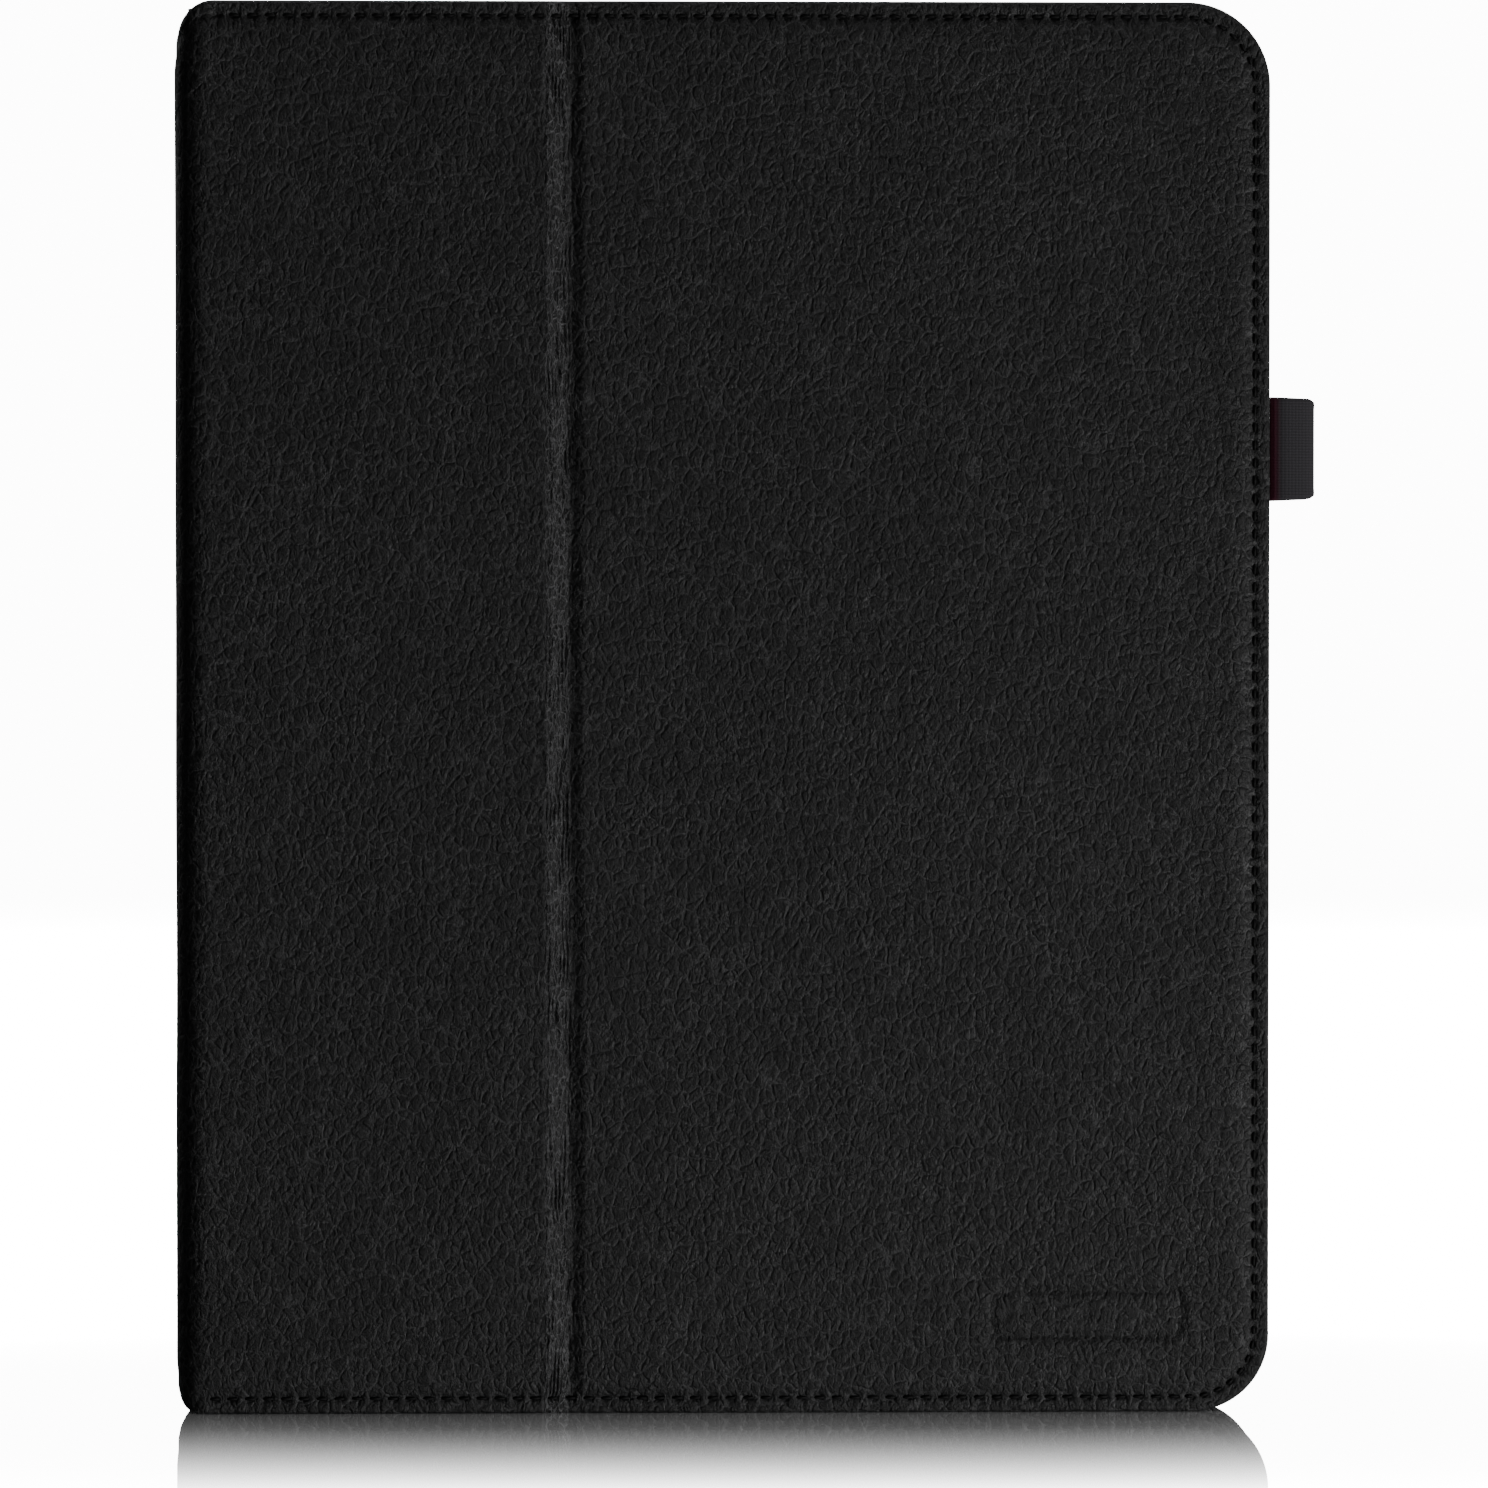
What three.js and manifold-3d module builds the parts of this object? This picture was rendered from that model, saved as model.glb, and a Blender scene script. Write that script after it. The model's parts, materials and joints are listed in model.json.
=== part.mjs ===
// A folio case for a 9.7 inch tablet, closed and standing on its lower edge.
// The front cover folds in two at a crease, so that it props the tablet up when it is turned
// right round and its free edge is tucked under a strip on the back.
// Millimetres. Case coordinates: x from the spine's outer face to the free edge, y from the
// front cover's outer face to the back, z up from the lower edge. The whole case is then moved
// so that the origin is at the bottom centre of its box.
import * as THREE from "three";
import { mergeVertices } from "three/addons/utils/BufferGeometryUtils.js";
import Module from "manifold-3d";

const wasm = await Module();
wasm.setup();

// ---------------------------------------------------------------- driving dimensions

// the tablet that the case holds
const tabletWidth = 185.7;
const tabletHeight = 241.2;
const tabletThickness = 9.4;
const tabletClearance = 0.3; // on each side of the tablet

// the sheets that the covers are laminated from, outside in
const leather = 0.9;
const foam = 0.8;
const board = 1.2;
const lining = 0.5;
const glueGap = 0.1;

// the stitched hem round each cover
const hemWidth = 3.2;
const hemStep = 0.6; // the hem lies this far below the padded face
const threadWidth = 0.5;
const threadInset = 2.5; // from the outline to the thread
const threadLift = 0.05; // between the thread and the hem
const liningInset = 1.2;
const boardGap = 0.3; // between the turned-in hem and the board

// corners of the closed case, seen from the front
const spineTopRadius = 7.4;
const spineBottomRadius = 4.3;
const freeTopRadius = 14.9;
const freeBottomRadius = 13.7;

// the folds
const foldRadius = 6; // outer radius of the leather where it turns round the spine
const creaseX = 69.4; // middle of the crease in the front cover, from the spine's outer face
const creaseHalfWidth = 3.3;
const creaseDepth = 1.3; // from the padded face to the leather in the crease
const foldGap = 0.1; // between the leather of two bodies at a fold
const boardFoldGap = 0.4; // from a fold to the board beside it

// the sleeve that holds the tablet
const spineClearance = 0.7; // between the spine's lining and the sleeve
const gusset = 1.2; // side walls of the sleeve
const gussetRadius = 12;
const flap = 0.8; // leather flap that closes the sleeve on the spine side
const flapSlack = 0.4; // between the flap and the tablet's space
const flapTongue = 22; // the part of the flap that tucks behind the tablet
const flapEnd = 24; // from the sleeve's top and bottom to the flap
const tongueSlack = 0.2;
const coverOverhang = 2.9; // covers beyond the sleeve, top and bottom
const freeOverhang = 1.8; // covers beyond the sleeve, at the free edge
const coverGap = 0.5; // between the bezel and the front cover when it is shut

// the bezel in front of the tablet
const bezelLeather = 0.7;
const bezelStiffener = 0.7;
const bezelBacking = 0.4;
const bezelLapX = 8.5; // how far the bezel covers the tablet's face
const bezelLapZ = 9.5;
const windowRadius = 6;
const bezelRadiusSpine = 6;
const stiffenerInset = 1.6;
const backingInset = 0.6;
const bezelThreadInset = 1.6;
const homeRadius = 8;
const homeHeight = 10.6; // centre of the home button above the tablet's lower edge
const frontCameraRadius = 4;
const frontCameraDrop = 10;

// openings for the tablet's sockets and buttons: middle along the edge, length
const slotHeight = 7;
const jackSlot = { from: 18, length: 12 }; // from the tablet's spine-side edge
const powerSlot = { from: 163, length: 18 };
const dockSlot = { from: tabletWidth / 2, length: 32 };
const speakerSlot = { from: 148, length: 26 };
const volumeSlot = { from: 199, length: 40 }; // from the tablet's lower edge

// the camera hole in the back cover
const cameraRadius = 6.5;
const cameraInset = 12; // centre, from the tablet's free edge and top
const cameraBoardClearance = 0.6;

// magnets
const magnetWidth = 4.5;
const magnetLength = 14;
const coverMagnet = 1.0;
const holderMagnet = 0.6;
const magnetClearance = 0.2;
const magnetHeights = { lower: 62, upper: 188 };
const sleepMagnetRadius = 4;
const sleepMagnetInset = 12; // from the tablet's free edge
const sleepMagnetHeight = 98;

// the stylus loop on the free edge of the back cover
const loopBand = 0.8;
const loopReach = 9.4; // beyond the free edge
const loopRootGap = 0.2;
const loopThickness = 7.4;
const loopRadius = 2.6;
const loopBottom = 162;
const loopHeight = 18.6;
const loopTail = 5;
const loopBack = 0.2; // from the back cover's outer face to the loop
const loopTailDepth = 1.3; // from the back cover's outer face to the tail
const loopTailClearance = 0.1;

// the strip on the back that the front cover's edge tucks under
const stripWidth = 24;
const stripHeight = 140;
const stripThickness = 1.2;
const stripRadius = 3;
const standLean = 67; // degrees between the back cover and the table
const stripReachGap = 0.6; // between the tucked edge and the strip
const tipClearance = 0.4; // between the tucked edge and the back cover
const stripThreadInset = 2;
const threadDepth = 0.3;

// ---------------------------------------------------------------- what follows from them

const boardStart = leather + glueGap + foam + glueGap;
const boardEnd = boardStart + board;
const liningStart = boardEnd + glueGap;
const coverStack = liningStart + lining;
const spineBoardStart = leather + glueGap;
const spineLiningStart = spineBoardStart + board + glueGap;
const spineStack = spineLiningStart + lining;

const bezelStack = bezelLeather + glueGap + bezelStiffener + glueGap + bezelBacking;
const bezelFront = coverStack + coverGap;
const stiffenerFront = bezelFront + bezelLeather + glueGap;
const backingFront = stiffenerFront + bezelStiffener + glueGap;
const cavityFront = bezelFront + bezelStack;
const cavityBack = cavityFront + tabletThickness + flap + tongueSlack;
const thickness = cavityBack + coverStack;

const sleeveX0 = spineStack + spineClearance;
const sleeveEdgeRadius = foldRadius - coverStack; // the folds turn round these edges of the sleeve
const cavityX0 = sleeveX0 + flap + flapSlack;
const cavityX1 = cavityX0 + tabletWidth + 2 * tabletClearance;
const sleeveX1 = cavityX1 + gusset;
const coverWidth = sleeveX1 + freeOverhang;
const sleeveZ0 = coverOverhang;
const cavityZ0 = sleeveZ0 + gusset;
const cavityZ1 = cavityZ0 + tabletHeight + 2 * tabletClearance;
const sleeveZ1 = cavityZ1 + gusset;
const coverHeight = sleeveZ1 + coverOverhang;
const tabletX0 = cavityX0 + tabletClearance;
const tabletX1 = tabletX0 + tabletWidth;
const tabletZ0 = cavityZ0 + tabletClearance;
const tabletZ1 = tabletZ0 + tabletHeight;

const windowX0 = cavityX0 + bezelLapX;
const windowX1 = cavityX1 - bezelLapX;
const windowZ0 = cavityZ0 + bezelLapZ;
const windowZ1 = cavityZ1 - bezelLapZ;
const magnetX = (windowX1 + sleeveX1) / 2;

const boardInset = hemWidth + boardGap + boardGap;
const creaseX0 = creaseX - creaseHalfWidth;
const creaseX1 = creaseX + creaseHalfWidth;

// A fold of a quarter turn keeps the length of its leather if it hinges this far from the centre
// of the bend, both ways.
const hingeReach = ((foldRadius - leather / 2) * Math.PI) / 4;
const hingeInset = foldRadius - hingeReach; // of both spine hinges, from the two outer faces

// The strip lies where the free edge meets the back cover in the stand: the spine and the narrow
// panel lie flat as the base, and the wide panel is the leg. The leg's hem stops just short of
// the back cover, so its lean follows from the height of the crease above the back cover's hinge.
const standBase = thickness - 2 * hingeInset + (creaseX - hingeInset);
const standLeg = coverWidth - creaseX;
const lean = THREE.MathUtils.degToRad(standLean);
const hemOffset = creaseDepth - hemStep; // from the leg's hinge line to its hem, on the back's side
const legDrop = standBase * Math.sin(lean) - hingeInset - tipClearance;
const legLean = Math.asin(legDrop / Math.hypot(standLeg, hemOffset)) - Math.atan2(hemOffset, standLeg);
const tipReach = standBase * Math.cos(lean) + standLeg * Math.cos(legLean);
const stripTop = stripThickness + glueGap; // above the back cover's outer face
const tipSlope = (stripTop - tipClearance) * Math.tan(legLean) - hemOffset * Math.sin(legLean);
const stripX0 = hingeInset + tipReach + tipSlope + stripReachGap;
const stripX1 = stripX0 + stripWidth;
const stripZ0 = (coverHeight - stripHeight) / 2;
const stripZ1 = stripZ0 + stripHeight;
const stripFront = thickness + glueGap;

const overallWidth = coverWidth + loopReach;
const overallDepth = thickness + stripTop;

// ---------------------------------------------------------------- materials

const paint = (color, roughness, metalness = 0) =>
  new THREE.MeshStandardMaterial({ color, roughness, metalness });
const leatherBlack = paint(0x1c1c1c, 0.55);
const suedeBlack = paint(0x26262a, 0.95);
const foamGrey = paint(0x4a4a4c, 0.9);
const boardGrey = paint(0x8a8176, 0.85);
const plasticBlack = paint(0x2a2a2c, 0.5);
const magnetSteel = paint(0xb4b6b8, 0.3, 1);
const elasticBlack = paint(0x232126, 0.8);
const threadBlack = paint(0x101010, 0.6);

// ---------------------------------------------------------------- making solids

const far = 1; // how far a cutting tool runs past what it cuts
const arcSteps = 10; // segments in each rounded corner

// A closed geometry as a solid for joining and cutting.
function solid(geometry) {
  const plain = new THREE.BufferGeometry();
  plain.setAttribute("position", geometry.getAttribute("position").clone());
  plain.setIndex(geometry.index);
  const merged = mergeVertices(plain, 1e-4);
  return new wasm.Manifold(
    new wasm.Mesh({
      numProp: 3,
      vertProperties: merged.getAttribute("position").array,
      triVerts: new Uint32Array(merged.index.array),
    }),
  );
}

function geometryOf(manifold) {
  const mesh = manifold.getMesh();
  const geometry = new THREE.BufferGeometry();
  geometry.setAttribute("position", new THREE.BufferAttribute(mesh.vertProperties, 3));
  geometry.setIndex(new THREE.BufferAttribute(mesh.triVerts, 1));
  geometry.computeVertexNormals();
  return geometry;
}

function block(x0, x1, y0, y1, z0, z1) {
  const box = new THREE.BoxGeometry(x1 - x0, y1 - y0, z1 - z0);
  return solid(box.translate((x0 + x1) / 2, (y0 + y1) / 2, (z0 + z1) / 2));
}

// A rectangle with its own radius at each corner.
function roundedRectangle(x0, x1, z0, z1, { spineTop, freeTop, freeBottom, spineBottom }) {
  const shape = new THREE.Shape();
  const quarter = Math.PI / 2;
  shape.absarc(x1 - freeBottom, z0 + freeBottom, freeBottom, -quarter, 0);
  shape.absarc(x1 - freeTop, z1 - freeTop, freeTop, 0, quarter);
  shape.absarc(x0 + spineTop, z1 - spineTop, spineTop, quarter, 2 * quarter);
  shape.absarc(x0 + spineBottom, z0 + spineBottom, spineBottom, 2 * quarter, 3 * quarter);
  return shape;
}

const sameRadius = (r) => ({ spineTop: r, freeTop: r, freeBottom: r, spineBottom: r });

// An outline in x and z, given thickness from y0 to y1.
function plate(shape, y0, y1) {
  const geometry = new THREE.ExtrudeGeometry(shape, {
    depth: y1 - y0,
    bevelEnabled: false,
    curveSegments: arcSteps,
  });
  return solid(geometry.rotateX(Math.PI / 2).translate(0, y1, 0));
}

// A section in x and y, carried upwards from z0 to z1.
function upright(shape, z0, z1) {
  const geometry = new THREE.ExtrudeGeometry(shape, {
    depth: z1 - z0,
    bevelEnabled: false,
    curveSegments: arcSteps,
  });
  return solid(geometry.translate(0, 0, z0));
}

// A round bar along y.
function pegY(x, z, radius, y0, y1) {
  const peg = new THREE.CylinderGeometry(radius, radius, y1 - y0, 32);
  return solid(peg.translate(x, (y0 + y1) / 2, z));
}

// A round bar along x.
function pegX(y, z, radius, x0, x1) {
  const peg = new THREE.CylinderGeometry(radius, radius, x1 - x0, 32).rotateZ(Math.PI / 2);
  return solid(peg.translate((x0 + x1) / 2, y, z));
}

// The closed case's outline, drawn in by an inset.
function coverOutline(inset) {
  return roundedRectangle(inset, coverWidth - inset, inset, coverHeight - inset, {
    spineTop: Math.max(spineTopRadius - inset, 1),
    freeTop: Math.max(freeTopRadius - inset, 1),
    freeBottom: Math.max(freeBottomRadius - inset, 1),
    spineBottom: Math.max(spineBottomRadius - inset, 1),
  });
}

// One sheet of a cover: the outline drawn in by an inset, between x0 and x1, from one depth to
// another below the cover's outer face.
function sheet(side, inset, x0, x1, from, to) {
  const [y0, y1] = side === "front" ? [from, to] : [thickness - to, thickness - from];
  const slice = block(x0, x1, y0 - far, y1 + far, -far, coverHeight + far);
  return plate(coverOutline(inset), y0, y1).intersect(slice);
}

// The outer leather: a padded face, and a lower hem that is turned in round the board.
function turnedLeather(side, x0, x1) {
  const face = sheet(side, hemWidth, x0, x1, 0, leather);
  const hem = sheet(side, 0, x0, x1, hemStep, boardEnd);
  const hollow = sheet(side, hemWidth + boardGap, x0 - far, x1 + far, leather, boardEnd + far);
  return face.add(hem.subtract(hollow));
}

// The seam's thread lies on the hem, beside the step up to the padded face.
function hemThread(side, x0, x1) {
  const depth = [hemStep - threadLift - threadWidth, hemStep - threadLift];
  const outer = sheet(side, threadInset, x0, x1, ...depth);
  const inner = sheet(side, threadInset + threadWidth, x0 - far, x1 + far, depth[0] - far, depth[1] + far);
  return outer.subtract(inner);
}

// ---------------------------------------------------------------- the case as a scene

const root = new THREE.Group();
const closedCase = new THREE.Group();
closedCase.position.set(-overallWidth / 2, -overallDepth / 2, 0);
root.add(closedCase);

function bodyGroup() {
  const group = new THREE.Group();
  closedCase.add(group);
  return group;
}

function add(group, name, manifold, material) {
  const mesh = new THREE.Mesh(geometryOf(manifold), material);
  mesh.name = name;
  group.add(mesh);
  return mesh;
}

const backCover = bodyGroup();
const spine = bodyGroup();
const narrowPanel = bodyGroup();
const widePanel = bodyGroup();

// ---------------------------------------------------------------- back cover

const cameraX = tabletX1 - cameraInset;
const cameraZ = tabletZ1 - cameraInset;
const cameraHole = (clearance) =>
  pegY(cameraX, cameraZ, cameraRadius + clearance, cavityBack - far, thickness + far);

const loopTailBack = thickness - loopTailDepth;
const loopTailFront = loopTailBack - 2 * loopBand;
const loopTop = loopBottom + loopHeight;
const loopTailNotch = block(
  coverWidth - loopTail - loopTailClearance,
  coverWidth + far,
  cavityBack,
  loopTailBack + loopTailClearance,
  loopBottom - loopTailClearance,
  loopTop + loopTailClearance,
);

add(
  backCover,
  "back_leather",
  turnedLeather("back", foldRadius, coverWidth).subtract(cameraHole(0)).subtract(loopTailNotch),
  leatherBlack,
);
add(
  backCover,
  "back_foam",
  sheet("back", boardInset, foldRadius + boardFoldGap, coverWidth, leather + glueGap, leather + glueGap + foam)
    .subtract(cameraHole(cameraBoardClearance))
    .subtract(loopTailNotch),
  foamGrey,
);
add(
  backCover,
  "back_board",
  sheet("back", boardInset, foldRadius + boardFoldGap, coverWidth, boardStart, boardEnd)
    .subtract(cameraHole(cameraBoardClearance))
    .subtract(loopTailNotch),
  boardGrey,
);
add(
  backCover,
  "back_lining",
  sheet("back", liningInset, foldRadius, coverWidth, liningStart, coverStack).subtract(cameraHole(0)),
  suedeBlack,
);
add(backCover, "back_hem_thread", hemThread("back", foldRadius, coverWidth), threadBlack);

// The strip that the front cover's free edge tucks under, with its seam on three sides.
const stripShape = (inset, x0) =>
  roundedRectangle(x0, stripX1 - inset, stripZ0 + inset, stripZ1 - inset, sameRadius(stripRadius));
const stripSeam = plate(
  stripShape(stripThreadInset, stripX0 + stripThreadInset),
  overallDepth - threadDepth,
  overallDepth,
);
const stripSeamCore = plate(
  stripShape(stripThreadInset + threadWidth, stripX0 - stripRadius),
  overallDepth - threadDepth - far,
  overallDepth + far,
);
const stripGroove = plate(
  stripShape(stripThreadInset - threadLift, stripX0 + stripThreadInset - threadLift),
  overallDepth - threadDepth - threadLift,
  overallDepth + far,
).subtract(
  plate(
    stripShape(stripThreadInset + threadWidth + threadLift, stripX0 - stripRadius),
    overallDepth - threadDepth - far,
    overallDepth + 2 * far,
  ),
);
add(
  backCover,
  "tuck_strip",
  plate(stripShape(0, stripX0), stripFront, overallDepth).subtract(stripGroove),
  leatherBlack,
);
add(backCover, "tuck_strip_thread", stripSeam.subtract(stripSeamCore), threadBlack);

// ---------------------------------------------------------------- sleeve

const wallFront = cavityFront + glueGap;
const wallBack = cavityBack - glueGap;
const slotMiddle = (cavityFront + cavityBack) / 2;

// A cut for a socket or button, with round ends: through the top or bottom wall, or through the
// free side's.
const slotRadius = slotHeight / 2;
function slotAcross(slot, z0, z1) {
  const x = tabletX0 + slot.from;
  const half = slot.length / 2;
  const outline = roundedRectangle(
    x - half,
    x + half,
    slotMiddle - slotRadius,
    slotMiddle + slotRadius,
    sameRadius(slotRadius),
  );
  return upright(outline, z0 - far, z1 + far);
}
function slotUpright(slot, x0, x1) {
  const z = tabletZ0 + slot.from;
  const straight = slot.length / 2 - slotRadius;
  const middle = block(x0 - far, x1 + far, slotMiddle - slotRadius, slotMiddle + slotRadius, z - straight, z + straight);
  return middle
    .add(pegX(slotMiddle, z - straight, slotRadius, x0 - far, x1 + far))
    .add(pegX(slotMiddle, z + straight, slotRadius, x0 - far, x1 + far));
}

// The space inside the folds, which the sleeve keeps to on the spine side.
const sleeveSpace = upright(
  roundedRectangle(
    sleeveX0,
    sleeveX1 + 2 * sleeveEdgeRadius,
    bezelFront,
    wallBack,
    sameRadius(sleeveEdgeRadius),
  ),
  0,
  coverHeight,
);

const cornerX = sleeveX1 - gussetRadius;
const wallEndX = cornerX - glueGap;
add(
  backCover,
  "gusset_top",
  block(sleeveX0, wallEndX, wallFront, wallBack, cavityZ1, sleeveZ1)
    .intersect(sleeveSpace)
    .subtract(slotAcross(jackSlot, cavityZ1, sleeveZ1))
    .subtract(slotAcross(powerSlot, cavityZ1, sleeveZ1)),
  leatherBlack,
);
add(
  backCover,
  "gusset_bottom",
  block(sleeveX0, wallEndX, wallFront, wallBack, sleeveZ0, cavityZ0)
    .intersect(sleeveSpace)
    .subtract(slotAcross(dockSlot, sleeveZ0, cavityZ0))
    .subtract(slotAcross(speakerSlot, sleeveZ0, cavityZ0)),
  leatherBlack,
);
add(
  backCover,
  "gusset_free_side",
  block(
    cavityX1,
    sleeveX1,
    wallFront,
    wallBack,
    sleeveZ0 + gussetRadius + glueGap,
    sleeveZ1 - gussetRadius - glueGap,
  ).subtract(slotUpright(volumeSlot, cavityX1, sleeveX1)),
  leatherBlack,
);

// A quarter ring of gusset round a corner of the tablet.
function gussetCorner(centreZ, start) {
  const shape = new THREE.Shape();
  const end = start + Math.PI / 2;
  shape.absarc(cornerX, centreZ, gussetRadius, start, end);
  shape.absarc(cornerX, centreZ, gussetRadius - gusset, end, start, true);
  return plate(shape, wallFront, wallBack);
}
add(backCover, "gusset_corner_top", gussetCorner(sleeveZ1 - gussetRadius, 0), leatherBlack);
add(backCover, "gusset_corner_bottom", gussetCorner(sleeveZ0 + gussetRadius, -Math.PI / 2), leatherBlack);

// The flap is sewn to the bezel on the spine side, goes back past the tablet's edge and tucks
// in behind the tablet.
const flapShape = new THREE.Shape();
const flapBend = [sleeveX0 + sleeveEdgeRadius, wallBack - sleeveEdgeRadius];
flapShape.moveTo(sleeveX0, wallFront);
flapShape.lineTo(sleeveX0 + flap, wallFront);
flapShape.absarc(...flapBend, sleeveEdgeRadius - flap, Math.PI, Math.PI / 2, true);
flapShape.lineTo(cavityX0 + flapTongue, wallBack - flap);
flapShape.lineTo(cavityX0 + flapTongue, wallBack);
flapShape.absarc(...flapBend, sleeveEdgeRadius, Math.PI / 2, Math.PI);
add(backCover, "retaining_flap", upright(flapShape, sleeveZ0 + flapEnd, sleeveZ1 - flapEnd), leatherBlack);

// ---------------------------------------------------------------- bezel

const bezelCorners = (inset) => ({
  spineTop: bezelRadiusSpine - inset,
  freeTop: gussetRadius - inset,
  freeBottom: gussetRadius - inset,
  spineBottom: bezelRadiusSpine - inset,
});

// A frame round the window. Its outer edge is drawn in, and its window drawn out, by the inset.
function bezelFrame(inset, y0, y1) {
  const outer = plate(
    roundedRectangle(sleeveX0 + inset, sleeveX1 - inset, sleeveZ0 + inset, sleeveZ1 - inset, bezelCorners(inset)),
    y0,
    y1,
  );
  const window = plate(
    roundedRectangle(
      windowX0 - inset,
      windowX1 + inset,
      windowZ0 - inset,
      windowZ1 + inset,
      sameRadius(windowRadius + inset),
    ),
    y0 - far,
    y1 + far,
  );
  const middleX = (cavityX0 + cavityX1) / 2;
  const home = pegY(middleX, tabletZ0 + homeHeight, homeRadius + inset, y0 - far, y1 + far);
  const camera = pegY(middleX, tabletZ1 - frontCameraDrop, frontCameraRadius + inset, y0 - far, y1 + far);
  return outer.intersect(sleeveSpace).subtract(window).subtract(home).subtract(camera);
}

// Space for a bar magnet, or the magnet itself, along y from y0 to y1.
function barMagnet(z, clearance, y0, y1) {
  const halfWidth = magnetWidth / 2 + clearance;
  const halfLength = magnetLength / 2 + clearance;
  return block(magnetX - halfWidth, magnetX + halfWidth, y0, y1, z - halfLength, z + halfLength);
}

let stiffener = bezelFrame(stiffenerInset, stiffenerFront, stiffenerFront + bezelStiffener);
for (const [place, z] of Object.entries(magnetHeights)) {
  const pocket = barMagnet(z, magnetClearance, stiffenerFront - far, stiffenerFront + bezelStiffener + far);
  stiffener = stiffener.subtract(pocket);
  const magnet = barMagnet(z, 0, stiffenerFront, stiffenerFront + holderMagnet);
  add(backCover, `holder_magnet_${place}`, magnet, magnetSteel);
}
add(backCover, "bezel_stiffener", stiffener, plasticBlack);

const seamBottom = bezelFront + threadDepth;
const bezelSeam = (inset, width, y0, y1) => {
  const outer = plate(
    roundedRectangle(sleeveX0 + inset, sleeveX1 - inset, sleeveZ0 + inset, sleeveZ1 - inset, bezelCorners(inset)),
    y0,
    y1,
  );
  const deeper = inset + width;
  const inner = plate(
    roundedRectangle(
      sleeveX0 + deeper,
      sleeveX1 - deeper,
      sleeveZ0 + deeper,
      sleeveZ1 - deeper,
      bezelCorners(deeper),
    ),
    y0 - far,
    y1 + far,
  );
  return outer.subtract(inner);
};
const seamGroove = bezelSeam(
  bezelThreadInset - threadLift,
  threadWidth + 2 * threadLift,
  bezelFront - far,
  seamBottom + threadLift,
);
add(
  backCover,
  "bezel_leather",
  bezelFrame(0, bezelFront, bezelFront + bezelLeather).subtract(seamGroove),
  leatherBlack,
);
add(backCover, "bezel_thread", bezelSeam(bezelThreadInset, threadWidth, bezelFront, seamBottom), threadBlack);
add(backCover, "bezel_backing", bezelFrame(backingInset, backingFront, cavityFront), suedeBlack);

// ---------------------------------------------------------------- stylus loop

const loopX0 = coverWidth + loopRootGap;
const loopX1 = coverWidth + loopReach;
const loopY1 = thickness - loopBack;
const loopY0 = loopY1 - loopThickness;
const loopBandShape = (inset) =>
  roundedRectangle(loopX0 + inset, loopX1 - inset, loopY0 + inset, loopY1 - inset, sameRadius(loopRadius - inset));
const loopRing = upright(loopBandShape(0), loopBottom, loopTop).subtract(
  upright(loopBandShape(loopBand), loopBottom - far, loopTop + far),
);
const tail = block(coverWidth - loopTail, loopX0 + loopBand / 2, loopTailFront, loopTailBack, loopBottom, loopTop);
add(backCover, "stylus_loop", loopRing.add(tail), elasticBlack);

// ---------------------------------------------------------------- spine

const outlinePrism = (inset) => plate(coverOutline(inset), -far, thickness + far);
const spineY0 = foldRadius;
const spineY1 = thickness - foldRadius;
add(
  spine,
  "spine_leather",
  block(0, leather, spineY0 + foldGap, spineY1 - foldGap, 0, coverHeight).intersect(outlinePrism(0)),
  leatherBlack,
);
add(
  spine,
  "spine_board",
  block(spineBoardStart, spineBoardStart + board, spineY0, spineY1, 0, coverHeight).intersect(
    outlinePrism(boardInset).translate([-boardInset, 0, 0]),
  ),
  boardGrey,
);
add(
  spine,
  "spine_lining",
  block(spineLiningStart, spineStack, spineY0 + foldGap, spineY1 - foldGap, liningInset, coverHeight - liningInset),
  suedeBlack,
);

// A quarter turn of a sheet round the corner between a cover and the spine: the sheet is at
// spineDepth below the spine's face at one end, and at coverDepth below the cover's at the other.
function foldSheet(side, spineDepth, coverDepth, sheetThickness) {
  const shape = new THREE.Shape();
  const front = side === "front";
  const centreY = front ? foldRadius : thickness - foldRadius;
  const gapAngle = foldGap / foldRadius;
  const start = (front ? Math.PI : Math.PI / 2) + gapAngle;
  const end = (front ? 1.5 * Math.PI : Math.PI) - gapAngle;
  const outerX = foldRadius - spineDepth;
  const outerY = foldRadius - coverDepth;
  const innerX = outerX - sheetThickness;
  const innerY = outerY - sheetThickness;
  shape.absellipse(foldRadius, centreY, outerX, outerY, start, end);
  shape.absellipse(foldRadius, centreY, innerX, innerY, end, start, true);
  return upright(shape, 0, coverHeight);
}

const inOutline = (manifold, inset) =>
  manifold.intersect(plate(coverOutline(inset), -far, thickness + far).add(
    block(-far, foldRadius, -far, thickness + far, inset + spineTopRadius, coverHeight - inset - spineTopRadius),
  ));
add(spine, "back_fold_leather", inOutline(foldSheet("back", 0, 0, leather), 0), leatherBlack);
add(
  spine,
  "back_fold_lining",
  inOutline(foldSheet("back", spineLiningStart, liningStart, lining), liningInset),
  suedeBlack,
);
add(narrowPanel, "front_fold_leather", inOutline(foldSheet("front", 0, 0, leather), 0), leatherBlack);
add(
  narrowPanel,
  "front_fold_lining",
  inOutline(foldSheet("front", spineLiningStart, liningStart, lining), liningInset),
  suedeBlack,
);

// ---------------------------------------------------------------- front cover

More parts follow.
